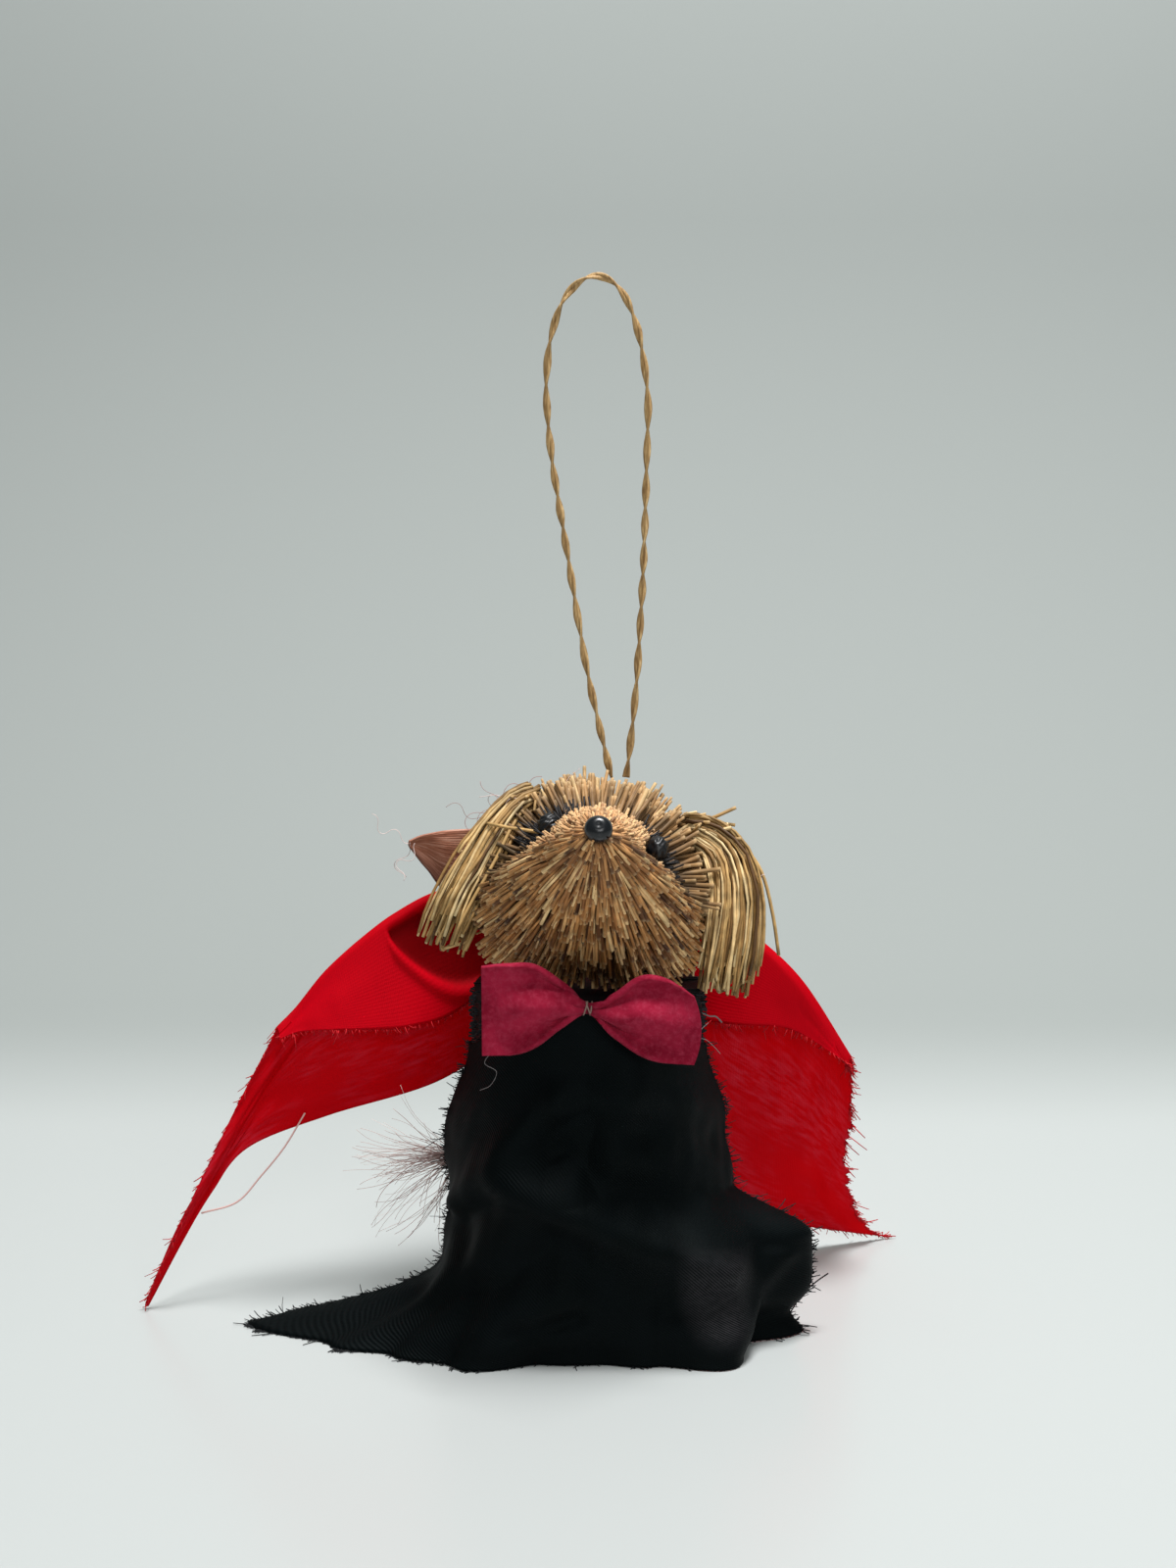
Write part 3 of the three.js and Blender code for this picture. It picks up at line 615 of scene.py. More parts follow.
# Straws of the muzzle: the turn where its upper side ends and its low side starts, how far
# ahead of its tip each straw is rooted, and how far short of the outline it may end
STRAW_COUNT = 4700
STRAW_DIAMETER = 0.72
STRAW_SHOWN = 11
STRAW_TAPER = 0.94
STRAW_BEND = 0.25
PLACE_SPREAD = 0.4
TURN_SPREAD_DEG = 1.8
UPPER_FULL_DEG = 70
UPPER_END_DEG = 110
LOW_START_DEG = 95
LOW_FULL_DEG = 150
UPPER_SWEEP = 1
LOWER_SWEEP = 21
BACK_SWEEP = -0.35
BACK_FULL = -6
BACK_END = -1
NOSE_START = 24
NOSE_FULL = 33
NOSE_SWEEP_CUT = 0.6
ROOT_SPREAD = 1.2
SHORT_SIDE = 3.4
SHORT_LOW = 4.4
SHORT_UPPER = 1.1
STRAY_SHARE = 0.04
STRAY_LEAST = 0.2
STRAY_MOST = 1.4

# Straws of the crown
CROWN_STRAW_COUNT = 1250
CROWN_STRAW_DIAMETER = 0.9
CROWN_STRAW_SHOWN = 15
CROWN_EDGE_DEG = 8
CROWN_ROOT_SHARE = 0.8
CROWN_SHORTEST = -3.4
CROWN_LONGEST = 1.5
CROWN_STRAY = 1.4

# Black tufts beside the eyes: turn, place along the axis, spread of the turn, and count
TUFTS = [[-66, 6, 15, 190], [-86, 7, 8, 150], [50, 8, 13, 260], [80, 4, 10, 120]]
TUFT_REACH = 15.5
TUFT_SHOWN = 5
TUFT_DIAMETER = 0.4
DYE_MOST = 0.96
DYE_STRENGTH = 1.25

# Room round each eye and width of the open lane in front of it, seen from a little below
EYE_ROOM = [["eye_left", 1.7, 0.1], ["eye_right", 2.8, 2.6]]
EYE_OUTLOOK_DEG = 20


def muzzle_radius(t):
    back = np.cbrt(np.maximum(0, 1 - np.maximum(0, -t / HEAD_BACK) ** 3))
    front = np.maximum(0, 1 - (np.maximum(0, t) / MUZZLE_LENGTH) ** 1.75) ** 0.8
    return HEAD_RADIUS * np.where(t < 0, back, front)


def crown_share(turn):
    return 1 - smooth(np.abs(turn), CROWN_FULL_DEG, CROWN_END_DEG)


def head_radius(t, turn_deg):
    plain = muzzle_radius(t)
    turn = np.abs(turn_deg)
    on_muzzle = smooth(t, 0, MUZZLE_LENGTH / 4) * (1 - smooth(t, MUZZLE_LENGTH / 2, MUZZLE_LENGTH))
    cut = MUZZLE_TOP_CUT * (1 - smooth(turn, MUZZLE_FULL_DEG, MUZZLE_END_DEG)) * on_muzzle
    rise = CROWN_RISE * crown_share(turn) * bell(t, -CROWN_BACK, CROWN_DEPTH)
    groove = CROWN_GROOVE * crown_share(turn) * bell(t, CROWN_GROOVE_WIDTH / 2, CROWN_GROOVE_WIDTH)
    eye_turn = np.where(turn_deg > 0, LEFT_EYE_TURN_DEG, RIGHT_EYE_TURN_DEG)
    at_eye = bell(turn, eye_turn, SOCKET_SPREAD_DEG) * bell(t, EYE_FORWARD, SOCKET_REACH)
    full = plain / HEAD_RADIUS
    chin = CHIN_CUT * full * bell(turn, 180, CHIN_SPREAD_DEG)
    jowl = JOWL_RISE * full * bell(turn, JOWL_TURN_DEG, JOWL_SPREAD_DEG)
    radius = plain + rise + jowl - groove - SOCKET_DEPTH * at_eye - cut - chin
    return np.maximum(radius, HEAD_RADIUS / 12)


def on_head(t, turn_deg, radius):
    turn = np.radians(turn_deg)
    out = up * (radius * np.cos(turn))[..., None] + aside * (radius * np.sin(turn))[..., None]
    return HEAD_CENTRE + forward * np.asarray(t)[..., None] + out


def head_core():
    """A dark closed form under the straw: painted shade, so that gaps between straws look deep."""
    places = np.concatenate([np.linspace(-HEAD_BACK + 1, 0, 12), np.linspace(1, MUZZLE_LENGTH - 4, 24)])
    turns = np.arange(CORE_COLUMNS) * 360 / CORE_COLUMNS - 180
    t, turn = np.meshgrid(places, turns, indexing="ij")
    points = on_head(t, turn, np.maximum(head_radius(t, turn) - CORE_DEPTH, 0.5)).reshape(-1, 3)
    points = np.concatenate([points, [HEAD_CENTRE + forward * places[0], HEAD_CENTRE + forward * places[-1]]])
    c = np.arange(CORE_COLUMNS)
    n = (c + 1) % CORE_COLUMNS
    last = (len(places) - 1) * CORE_COLUMNS
    first_cap = np.stack([np.full(CORE_COLUMNS, len(points) - 2), n, c], -1)
    last_cap = np.stack([np.full(CORE_COLUMNS, len(points) - 1), last + c, last + n], -1)
    marks = {name: np.zeros(1) for name in ("tint", "along", "rosy", "gold")}
    faces = [ring_quads(len(places), CORE_COLUMNS), first_cap, last_cap]
    # Painted shade: the core takes the darkest root colour and is darkened further towards black.
    return part(points, faces, dye=np.full(1, 0.6), **marks)


def even_spread(count):
    """Places spread evenly over the brush's outline: along the axis, and turns round it."""
    table = np.linspace(-HEAD_BACK + 0.2, HEAD_NOSE_END, 600)
    radius = muzzle_radius(table)
    slope = np.gradient(radius, table)
    weight = np.cumsum(radius * np.sqrt(1 + np.minimum(slope**2, 9)))
    share = (np.arange(count) + 0.5) / count
    t = np.interp(share, weight / weight[-1], table)
    golden = 360 * (math.sqrt(5) - 1) / 2
    turn = (np.arange(count) * golden + 180) % 360 - 180
    return t, turn


def straws_from(root, tip, shown, diameter, tint, rosy, gold):
    """Straws from a root on the brush's axis to a tip, of which only the outer end is made."""
    count = len(tip)
    run = unit(tip - root)
    shown = np.minimum(shown, np.linalg.norm(tip - root, axis=1) * 0.92)
    start = tip - run * shown[:, None]
    bend = random.normal(0, STRAW_BEND, (count, 3))
    paths = np.stack([start, (start + tip) / 2 + bend, tip], axis=1)
    keep = clear_of_eyes(start, tip)
    radii = diameter[:, None] / 2 * np.array([1, 1, STRAW_TAPER])
    # The along mark runs from 0 at a straw's inner end to 1 at its tip, and the finish paints shade towards
    # 0.
    depth = np.broadcast_to(np.array([0.0, 0.5, 1.0]), (count, 3))
    marks = {"tint": tint, "along": depth, "dye": dye_at(paths), "rosy": rosy, "gold": gold}
    marks = {name: value[keep] for name, value in marks.items()}
    return tubes(paths[keep], radii[keep], 4, **marks)


def muzzle_straws():
    t, turn = even_spread(STRAW_COUNT)
    t = t + random.normal(0, PLACE_SPREAD, STRAW_COUNT)
    turn = turn + random.normal(0, TURN_SPREAD_DEG, STRAW_COUNT)
    upper = 1 - smooth(np.abs(turn), UPPER_FULL_DEG, UPPER_END_DEG)
    wanted = ~((upper > 0.5) & (t < GROOVE_END))
    t, turn, upper = t[wanted], turn[wanted], upper[wanted]
    count = len(t)
    back = 1 - smooth(t, BACK_FULL, BACK_END)
    low = smooth(np.abs(turn), LOW_START_DEG, LOW_FULL_DEG)
    tip = on_head(t, turn, head_radius(t, turn))
    near_nose = smooth(t, NOSE_START, NOSE_FULL)
    sweep = mix(LOWER_SWEEP, UPPER_SWEEP, upper) * (1 - NOSE_SWEEP_CUT * near_nose)
    root_place = np.minimum(t + mix(sweep, BACK_SWEEP * t, back), MUZZLE_LENGTH - 1)
    root = HEAD_CENTRE + forward * root_place[:, None]
    run = unit(tip - root + random.normal(0, ROOT_SPREAD, (count, 3)))
    uneven = random.uniform(-1, 0.4, count) * mix(mix(SHORT_SIDE, SHORT_LOW, low), SHORT_UPPER, upper)
    stray = random.random(count) < STRAY_SHARE
    uneven = uneven + np.where(stray, random.uniform(STRAY_LEAST, STRAY_MOST, count) * (1 - upper), 0)
    tip = tip + run * uneven[:, None]
    diameter = STRAW_DIAMETER * random.uniform(0.6, 1.35, count) * mix(1, 0.8, upper)
    tint = np.clip(random.normal(mix(0.5, 0.58, upper), 0.3, count), 0, 1)
    rosy = np.clip(upper * 1.0 + 0.35 * smooth(t, 14, 30), 0, 1)
    return straws_from(root, tip, STRAW_SHOWN, diameter, tint, rosy, np.zeros(count))


def crown_straws():
    """The coarser fan of straw behind the muzzle, from ear to ear over the top."""
    count = CROWN_STRAW_COUNT
    t = random.uniform(-HEAD_BACK * 0.92, GROOVE_END - 1.5, count)
    last_turn = CROWN_END_DEG - CROWN_EDGE_DEG
    turn = random.uniform(-last_turn, last_turn, count)
    tip = on_head(t, turn, head_radius(np.minimum(t, -1), turn))
    root = HEAD_CENTRE + forward * (CROWN_ROOT_SHARE * t + random.normal(0, 0.8, count))[:, None]
    root = root + aside * random.normal(0, 1.4, (count, 1)) + up * random.normal(0, 1.0, (count, 1))
    uneven = random.uniform(CROWN_SHORTEST, CROWN_LONGEST, count)
    uneven = uneven + np.where(random.random(count) < 0.1, CROWN_STRAY, 0)
    tip = tip + unit(tip - root) * uneven[:, None]
    diameter = CROWN_STRAW_DIAMETER * random.uniform(0.7, 1.25, count)
    tint = np.clip(random.normal(0.5, 0.24, count), 0, 1)
    return straws_from(root, tip, CROWN_STRAW_SHOWN, diameter, tint, np.zeros(count), np.ones(count))


def dyed_tufts():
    """Short black fibres in the groove beside each eye."""
    sets = []
    for turn_at, t_at, turn_spread, count in TUFTS:
        turn = random.normal(turn_at, turn_spread, count)
        t = random.normal(t_at, 1.3, count)
        tip = on_head(t, turn, TUFT_REACH + random.normal(0, 1.2, count))
        root = HEAD_CENTRE + forward * (t - 1)[:, None] + random.normal(0, 1.4, (count, 3))
        zero = np.zeros(count)
        tuft = straws_from(root, tip, TUFT_SHOWN, np.full(count, TUFT_DIAMETER), zero, zero, zero)
        tuft["marks"]["dye"] = np.full(len(tuft["points"]), DYE_MOST)
        sets.append(tuft)
    return joined(*sets)


def clear_of_eyes(start, tip):
    """True for a straw that leaves both eyes free and in sight from in front."""
    dip = math.radians(EYE_OUTLOOK_DEG)
    outlook = unit(forward * math.cos(dip) - up * math.sin(dip))
    clear = np.ones(len(tip), bool)
    for node, room, lane in EYE_ROOM:
        for share in (0.4, 0.6, 0.8, 1.0):
            off = mix(start, tip, share) - middle_mm(node)
            ahead = off @ outlook
            beside = np.linalg.norm(off - ahead[:, None] * outlook, axis=1)
            clear &= (np.linalg.norm(off, axis=1) > room) & ~((ahead > 0) & (beside < lane))
    return clear


# Dyed places on the head: along the axis, turn, distance from the axis, and spread
DYED = [
    [4, -60, 15, 4.4],
    [4, -78, 15.5, 3.8],
    [4, -96, 18, 2.4],
    [7, -84, 19, 3.4],
    [10, -88, 19.5, 2.6],
    [3, 50, 16, 4.6],
    [2, 70, 17.5, 4.2],
    [3, 86, 19.5, 4.0],
    [5, 98, 20, 2.8],
    [2, 30, 15, 3.4],
    [2, 5, 14, 2.6],
    [2, -30, 14, 3.0],
]


def dye_at(paths):
    total = np.zeros(paths.shape[:2])
    for t, turn, out, spread in DYED:
        centre = on_head(np.array(float(t)), np.array(float(turn)), np.array(float(out)))
        total = np.maximum(total, bell(np.linalg.norm(paths - centre, axis=2), 0, spread))
    return np.clip(total * DYE_STRENGTH, 0, DYE_MOST)


def add_head():
    shape = joined(muzzle_straws(), crown_straws(), dyed_tufts(), head_core())
    add_piece("head_straw", shape, head_straw_finish(), "head")


add_head()

# Face beads: how far the mesh stands out past the solid, as a share of the radius
BEAD_PAST = 1.02


def add_nose():
    def squashed(directions):
        front = np.clip(directions @ forward, -1, 1)
        high = directions @ up
        dimple = 0.07 * bell(np.degrees(np.arccos(front)), 0, 14)
        return 1 - 0.05 * np.abs(high) ** 4 - 0.1 * np.maximum(0, front) ** 6 - dimple

    shape = ball(NOSE_CENTRE, size_mm("nose")[2] / 2 * BEAD_PAST, squashed)
    add_piece("nose_bead", shape, bead_finish(), "nose")


def add_eye(name, node, seed):
    def wrinkled(directions):
        x, y = directions @ aside, directions @ up
        folds = ripples(x * 10 + 3 * y, y * 10, seed, 5, 3.5, 7)
        return 1 + 0.06 * folds + 0.1 * np.abs(y) ** 2

    shape = ball(middle_mm(node), size_mm(node)[2] / 2 * BEAD_PAST, wrinkled)
    add_piece(name, shape, eye_finish(), node)


add_nose()
add_eye("eye_bead_left", "eye_left", 3)
add_eye("eye_bead_right", "eye_right", 5)

# Ears: paths as shares of the head's radius from the head's middle, as in the frame
LEFT_EAR_PATH = [
    [-0.5, 0.52, 0.78],
    [-0.64, 0.39, 0.72],
    [-0.81, 0.22, 0.53],
    [-0.98, 0.04, 0.25],
    [-1.17, -0.07, -0.08],
    [-1.34, -0.13, -0.5],
]
RIGHT_EAR_PATH = [
    [0.78, 0.48, 0.48],
    [0.98, 0.39, 0.45],
    [1.17, 0.22, 0.3],
    [1.24, 0.04, -0.02],
    [1.2, -0.09, -0.42],
    [1.12, -0.17, -0.88],
]
EAR_RINGS = 12
EAR_STRAW_DIAMETER = 0.74
EAR_SWAY = 0.8
EAR_DEEP_SWAY = 0.7
EAR_SPREAD = 0.9
EAR_TUFT_SPREAD = 1.3


def ear_straws(controls, width, thickness, count, strays, root_share):
    """A bundle of long straws along a path, gathered where the ear starts, a few of them loose."""
    path = HEAD_CENTRE + np.asarray(controls) * HEAD_RADIUS
    turn = random.uniform(0, 2 * np.pi, count)
    reach = np.sqrt(random.uniform(0, 1, count))
    out = reach * np.cos(turn)
    deep = reach * np.sin(turn)
    loose = np.arange(count) < strays
    out = np.where(loose, np.abs(out) * 1.2, out)
    first = random.uniform(-0.02, 0.1, count)
    last = random.uniform(0.84, 1.03, count) - np.where(loose, random.uniform(0.0, 0.3, count), 0)
    share = mix(first[:, None], last[:, None], np.linspace(0, 1, EAR_RINGS))
    middle = on_curve(path, np.clip(share, 0, 1))
    ahead = on_curve(path, np.clip(share + 0.01, 0, 1)) - on_curve(path, np.clip(share - 0.01, 0, 1))
    run = unit(ahead)
    past = np.maximum(share - 1, 0)[..., None] * np.linalg.norm(path[-1] - path[0])
    middle = middle + run * past
    broad = unit(np.cross(np.array([0, 1.0, 0]), run))
    thick = unit(np.cross(run, broad))
    half = width / 2 * mix(root_share, 1, smooth(share, 0, 0.75))
    phase = random.uniform(0, 2 * np.pi, (count, 2))
    sway = np.sin(share * 4 + phase[:, :1]) * share
    sideways = out[:, None] * half + EAR_SWAY * sway + random.normal(0, EAR_SPREAD, (count, 1)) * share
    depthways = deep[:, None] * thickness / 2 + EAR_DEEP_SWAY * np.sin(share * 5 + phase[:, 1:]) * share
    paths = middle + broad * sideways[..., None] + thick * depthways[..., None]
    paths = paths + random.normal(0, 0.1, (count, EAR_RINGS, 3))
    size = random.uniform(0.65, 1.2, (count, 1))
    radii = EAR_STRAW_DIAMETER / 2 * size * np.linspace(1.05, 0.9, EAR_RINGS)
    # Painted shade: straws further back in the bundle get a darker tint, and each straw is darker towards its
    # root through the along mark.
    to_front = np.sign(thick[:, 4, 1].mean())
    tint = np.clip(random.normal(0.5, 0.3, count) - 0.25 * deep * to_front, 0, 1)
    return tubes(paths, radii, 5, tint=tint, along=np.clip(0.35 + share * 0.6, 0, 1))


def ear_tuft(controls, way, count, length):
    """Short straws, cut off straight, that stand out where an ear starts."""
    path = HEAD_CENTRE + np.asarray(controls) * HEAD_RADIUS
    start = on_curve(path, random.uniform(-0.1, 0.22, count)) + random.normal(0, EAR_TUFT_SPREAD, (count, 3))
    run = unit(np.array(way) + random.normal(0, 0.28, (count, 3)))
    end = start + run * (length * random.uniform(0.6, 1.15, (count, 1)))
    paths = np.stack([start, (start + end) / 2 + random.normal(0, 0.2, (count, 3)), end], axis=1)
    radii = EAR_STRAW_DIAMETER / 2 * random.uniform(0.7, 1.1, (count, 1)) * np.ones(3)
    tint = np.clip(random.normal(0.55, 0.25, count), 0, 1)
    # Painted shade: each tuft straw is darker towards its root through the along mark.
    return tubes(paths, radii, 5, tint=tint, along=np.array([[0.2, 0.7, 1.0]]) * np.ones((count, 3)))



EAR_FINISH = ear_straw_finish()
left_ear = joined(
    ear_straws(LEFT_EAR_PATH, width=10, thickness=5.5, count=88, strays=7, root_share=0.6),
    ear_tuft(LEFT_EAR_PATH, way=(-0.6, -0.7, -0.5), count=9, length=6),
)
right_ear = joined(
    ear_straws(RIGHT_EAR_PATH, width=14, thickness=6, count=118, strays=11, root_share=0.5),
    ear_tuft(RIGHT_EAR_PATH, way=(0.9, -0.4, 0.1), count=28, length=9),
)
add_piece("ear_straw_left", left_ear, EAR_FINISH, "ear_left")
add_piece("ear_straw_right", right_ear, EAR_FINISH, "ear_right")

# Body: black bristle, its ends trimmed to an upright round brush, round a plain core
BRISTLE_COUNT = 7000
BRISTLE_DIAMETER = 0.5
BRISTLE_SHOWN = 7
BRISTLE_UNEVEN = 1.6
BRISTLE_DROP = -1.2
BODY_CORE_DEPTH = 1.3


def add_body():
    height = (np.arange(BRISTLE_COUNT) + 0.5) / BRISTLE_COUNT * BODY_HEIGHT
    angle = random.uniform(0, 360, BRISTLE_COUNT)
    end = BODY_RADIUS - random.uniform(0, BRISTLE_UNEVEN, BRISTLE_COUNT)
    drop = random.normal(BRISTLE_DROP, BRISTLE_UNEVEN, BRISTLE_COUNT)
    low, high = 0.4, BODY_HEIGHT - 0.4
    inner = np.full(BRISTLE_COUNT, BODY_RADIUS - BRISTLE_SHOWN)
    start = around_body(angle, inner, np.clip(height, low, high))
    tip = around_body(angle + random.normal(0, 1.2, BRISTLE_COUNT), end, np.clip(height + drop, low, high))
    radii = np.full((BRISTLE_COUNT, 2), BRISTLE_DIAMETER / 2)
    # Painted shade: each bristle is darker at its inner end, and the core under them is the darkest.
    tint = np.repeat(random.uniform(0, 1, (BRISTLE_COUNT, 1)), 2, axis=1) * np.array([0.1, 1])
    bristles = tubes(np.stack([start, tip], axis=1), radii, 3, tint=tint)
    axis = np.array([[[0, 0, 0.0], [0, 0, BODY_HEIGHT - 0.5]]])
    core_radii = np.full((1, 2), BODY_RADIUS - BODY_CORE_DEPTH)
    core = tubes(axis, core_radii, 64, start_normal=WORLD_X, tint=np.zeros(1))
    shape = joined(bristles, core)
    add_piece("body_bristle", shape, black_bristle_finish(), "body")


add_body()

# Gown: a place on it is u from its left edge to its right and v from its top to its hem.
# The list for the hem says how far it stands out from the body, as shares of the train
GOWN_RISE = 3
GOWN_SHOULDER_DROP = 13
GOWN_LEFT_DEG = -76
GOWN_TRAIN_TURN_DEG = -8
GOWN_RIGHT_DEG = 75
GOWN_TRAIN = 46
GOWN_STAND = 3.4
GOWN_FOLD = 2.2
GOWN_FOLD_WIDTH = 0.075
GOWN_SPACING = 1
GOWN_HEM = [
    [0, 1], [0.09, 0.66], [0.16, 0.45], [0.26, 0.28], [0.42, 0.08],
    [0.56, 0.06], [0.68, 0.14], [0.81, 0.31], [0.9, 0.24], [1, 0.45],
]

# Folds of the cloth: u and v of both ends, height, and width
GOWN_EASE = 0.8
GOWN_FINE_FOLDS = [
    [0.11, 0.54, 0.41, 0.29, 3.4, 0.06],
    [0.43, 0.24, 0.8, 0.21, 1.8, 0.06],
    [0.4, 0.33, 0.66, 0.36, -2.4, 0.065],
    [0.43, 0.42, 0.8, 0.62, -2.0, 0.06],
    [0.29, 0.485, 0.78, 0.71, 3.2, 0.06],
    [0.13, 0.62, 0.2, 0.8, -2.1, 0.05],
    [0.36, 0.9, 0.48, 0.87, -1.8, 0.035],
    [0.93, 0.7, 0.86, 0.97, 2.0, 0.03],
]

# Large folds, which the frame has too: u and v of both ends
GOWN_FOLDS = [
    [0.1, 0.8, 0.46, 0.5],
    [0.34, 0.52, 0.72, 0.73],
    [0.93, 0.62, 0.8, 1],
    [0.3, 1, 0.42, 0.78],
    [0.62, 0.2, 0.56, 0.46],
]


def along(pairs, place):
    """A number read from a short list of [place, value] pairs, smoothly between them."""
    total = np.full(np.shape(place), float(pairs[0][1]))
    for (start, low), (end, high) in zip(pairs, pairs[1:]):
        total = total + (high - low) * smooth(place, start, end)
    return total


def fold_height(u, v, fold, width=GOWN_FOLD_WIDTH):
    start_u, start_v, end_u, end_v = fold
    run = np.array([end_u - start_u, end_v - start_v])
    share = np.clip(((u - start_u) * run[0] + (v - start_v) * run[1]) / np.dot(run, run), 0, 1)
    distance = np.hypot(u - start_u - share * run[0], v - start_v - share * run[1])
    return GOWN_FOLD * bell(distance, 0, width)


def gown_points(u, v):
    edge = np.abs(2 * u - 1)
    top = BODY_HEIGHT + GOWN_RISE - GOWN_SHOULDER_DROP * smooth(edge, 0.25, 1)
    height = mix(top, GOWN_THICKNESS / 2, v)
    late = np.maximum(0, (v - 0.74) / 0.26) ** 2
    early = smooth(v, 0.5, 0.65)
    flare = mix(mix(late, v**3, smooth(u, 0, 0.4)), early, smooth(u, 0.6, 0.95))
    reach = along(GOWN_HEM, u) * GOWN_TRAIN
    waist = GOWN_STAND * edge * smooth(v, 0, 0.3)
    folds = np.max([fold_height(u, v, fold) for fold in GOWN_FOLDS], axis=0)
    pinch = GOWN_STAND * bell(v, 0.93, 0.05) * smooth(u, 0.8, 1)
    stand = mix(waist, reach, flare) + folds - pinch
    left = GOWN_LEFT_DEG + GOWN_TRAIN_TURN_DEG * smooth(v, 0.74, 1)
    angle = mix(left, GOWN_RIGHT_DEG, u) * mix(0.9, 1, smooth(v, 0, 0.25))
    return around_body(angle, BODY_RADIUS + CLOTH_GAP + GOWN_SPACING / 2 + stand, height)


def cloth_places(grid):
    """Each point's place on the cloth laid flat, roughly: millimetres across and down."""
    across = np.linalg.norm(np.diff(grid, axis=1), axis=2).mean(axis=0)
    down = np.linalg.norm(np.diff(grid, axis=0), axis=2).mean(axis=1)
    x = np.concatenate([[0], np.cumsum(across)])
    y = np.concatenate([[0], np.cumsum(down)])
    x, y = np.meshgrid(x, y)
    return np.stack([x, y, np.zeros_like(x)], axis=-1)


def uneven_edge(count, seed, size):
    """A ragged line of small steps for a torn or cut edge."""
    own = np.random.default_rng(seed)
    coarse = own.normal(0, 1, count // 6 + 2)
    line = np.interp(np.arange(count) / 6, np.arange(len(coarse)), coarse)
    return size * (0.6 * line + 0.5 * own.normal(0, 1, count))


def at_places(places, steps, points):
    return np.stack([np.interp(places, steps, points[:, i]) for i in range(3)], axis=1)


def fringe(edge, outward, spacing, length, seed):
    """Loose thread ends along an edge, each a short thin tube that points outward."""
    own = np.random.default_rng(seed)
    steps = np.concatenate([[0], np.cumsum(np.linalg.norm(np.diff(edge, axis=0), axis=1))])
    count = int(steps[-1] / spacing)
    places = np.sort(own.uniform(0, steps[-1], count))
    root = at_places(places, steps, edge)
    out = unit(at_places(places, steps, outward))
    reach = length * own.gamma(1.6, 0.45, count)
    way = unit(out + own.normal(0, THREAD_TURN, (count, 3)))
    bend = own.normal(0, THREAD_BEND, (count, 3)) * reach[:, None]
    middle = root + way * reach[:, None] * 0.5 + bend * 0.5
    paths = np.stack([root - out * THREAD_SUNK, middle, root + way * reach[:, None] + bend], 1)
    paths[..., 2] = np.maximum(paths[..., 2], 0.15)
    radii = THREAD_RADIUS * np.array([[1, 1, 0.8]]) * own.uniform(0.6, 1.1, (count, 1))
    return tubes(paths, radii, 3, tint=own.uniform(0, 1, count))


GOWN_COLUMNS = 210
GOWN_ROWS = 130
GOWN_TEAR = 0.0028
GOWN_SOFT = 0.8
GOWN_FINE = 0.12
SHEER_LIGHT_MOST = 0.7


def sheer_at(u, v):
    """The thinner patch of cloth low on the right, with painted light that shows through it."""
    across = smooth(u - 0.2 * (v - 0.7), 0.69, 0.74) * (1 - smooth(u + 0.15 * (v - 0.7), 0.82, 0.9))
    return SHEER_LIGHT_MOST * across * smooth(v, 0.63, 0.75) * (1 - smooth(v, 0.88, 0.97))


def add_gown():
    u, v = np.meshgrid(np.linspace(0, 1, GOWN_COLUMNS + 1), np.linspace(0, 1, GOWN_ROWS + 1))
    left_edge = uneven_edge(GOWN_ROWS + 1, 11, GOWN_TEAR)[:, None] * (1 - smooth(u, 0, 0.02))
    right_edge = uneven_edge(GOWN_ROWS + 1, 12, GOWN_TEAR)[:, None] * smooth(u, 0.98, 1)
    grid = gown_points(u + left_edge + right_edge, v)
    cloth = cloth_places(grid)
    x, y = cloth[..., 0], cloth[..., 1]
    normal = grid_normals(grid)
    away = normal * np.sign(np.sum(normal * grid * np.array([1, 1, 0]), axis=2, keepdims=True))
    soft = ripples(x * 0.6 + y * 0.5, y, 21, 7, 14, 34) * GOWN_SOFT
    fine = ripples(x, y, 22, 8, 5, 11) * GOWN_FINE
    for start_u, start_v, end_u, end_v, height, width in GOWN_FINE_FOLDS:
        ends = (start_u, start_v, end_u, end_v)
        soft = soft + fold_height(u, v, ends, width) * height / GOWN_FOLD
    clear = smooth(np.linalg.norm(grid[..., :2], axis=2), BODY_RADIUS + 1, BODY_RADIUS + 2.5)
    lift = (soft + fine + GOWN_EASE) * smooth(v, 0.14, 0.34) * (1 - smooth(v, 0.9, 1))
    level_out = unit(grid * np.array([1, 1, 0]))
    outward = unit(mix(away, level_out, 0.8))
    grid = grid + outward * (np.maximum(lift, 0) + np.minimum(lift, 0) * clear)[..., None]
    shape = sheet(grid, GOWN_THICKNESS, cloth=cloth, sheer=sheer_at(u, v))
    gown = add_piece("gown_cloth", shape, black_cloth_finish(), "gown")
    edges = [
        fringe(grid[:, 0], unit(grid[:, 0] - grid[:, 3]) + level_out[:, 0], 0.16, 1.2, 31),
        fringe(grid[:, -1], unit(grid[:, -1] - grid[:, -4]) + level_out[:, -1], 0.16, 1.2, 32),
        fringe(grid[-1], grid[-1] - grid[-4], 0.3, 1.3, 33),
    ]
    thread = plain_finish("black_thread", srgb(17, 19, 22), 0.8)
    fray = add_piece("gown_fray", joined(*edges), thread)


add_gown()

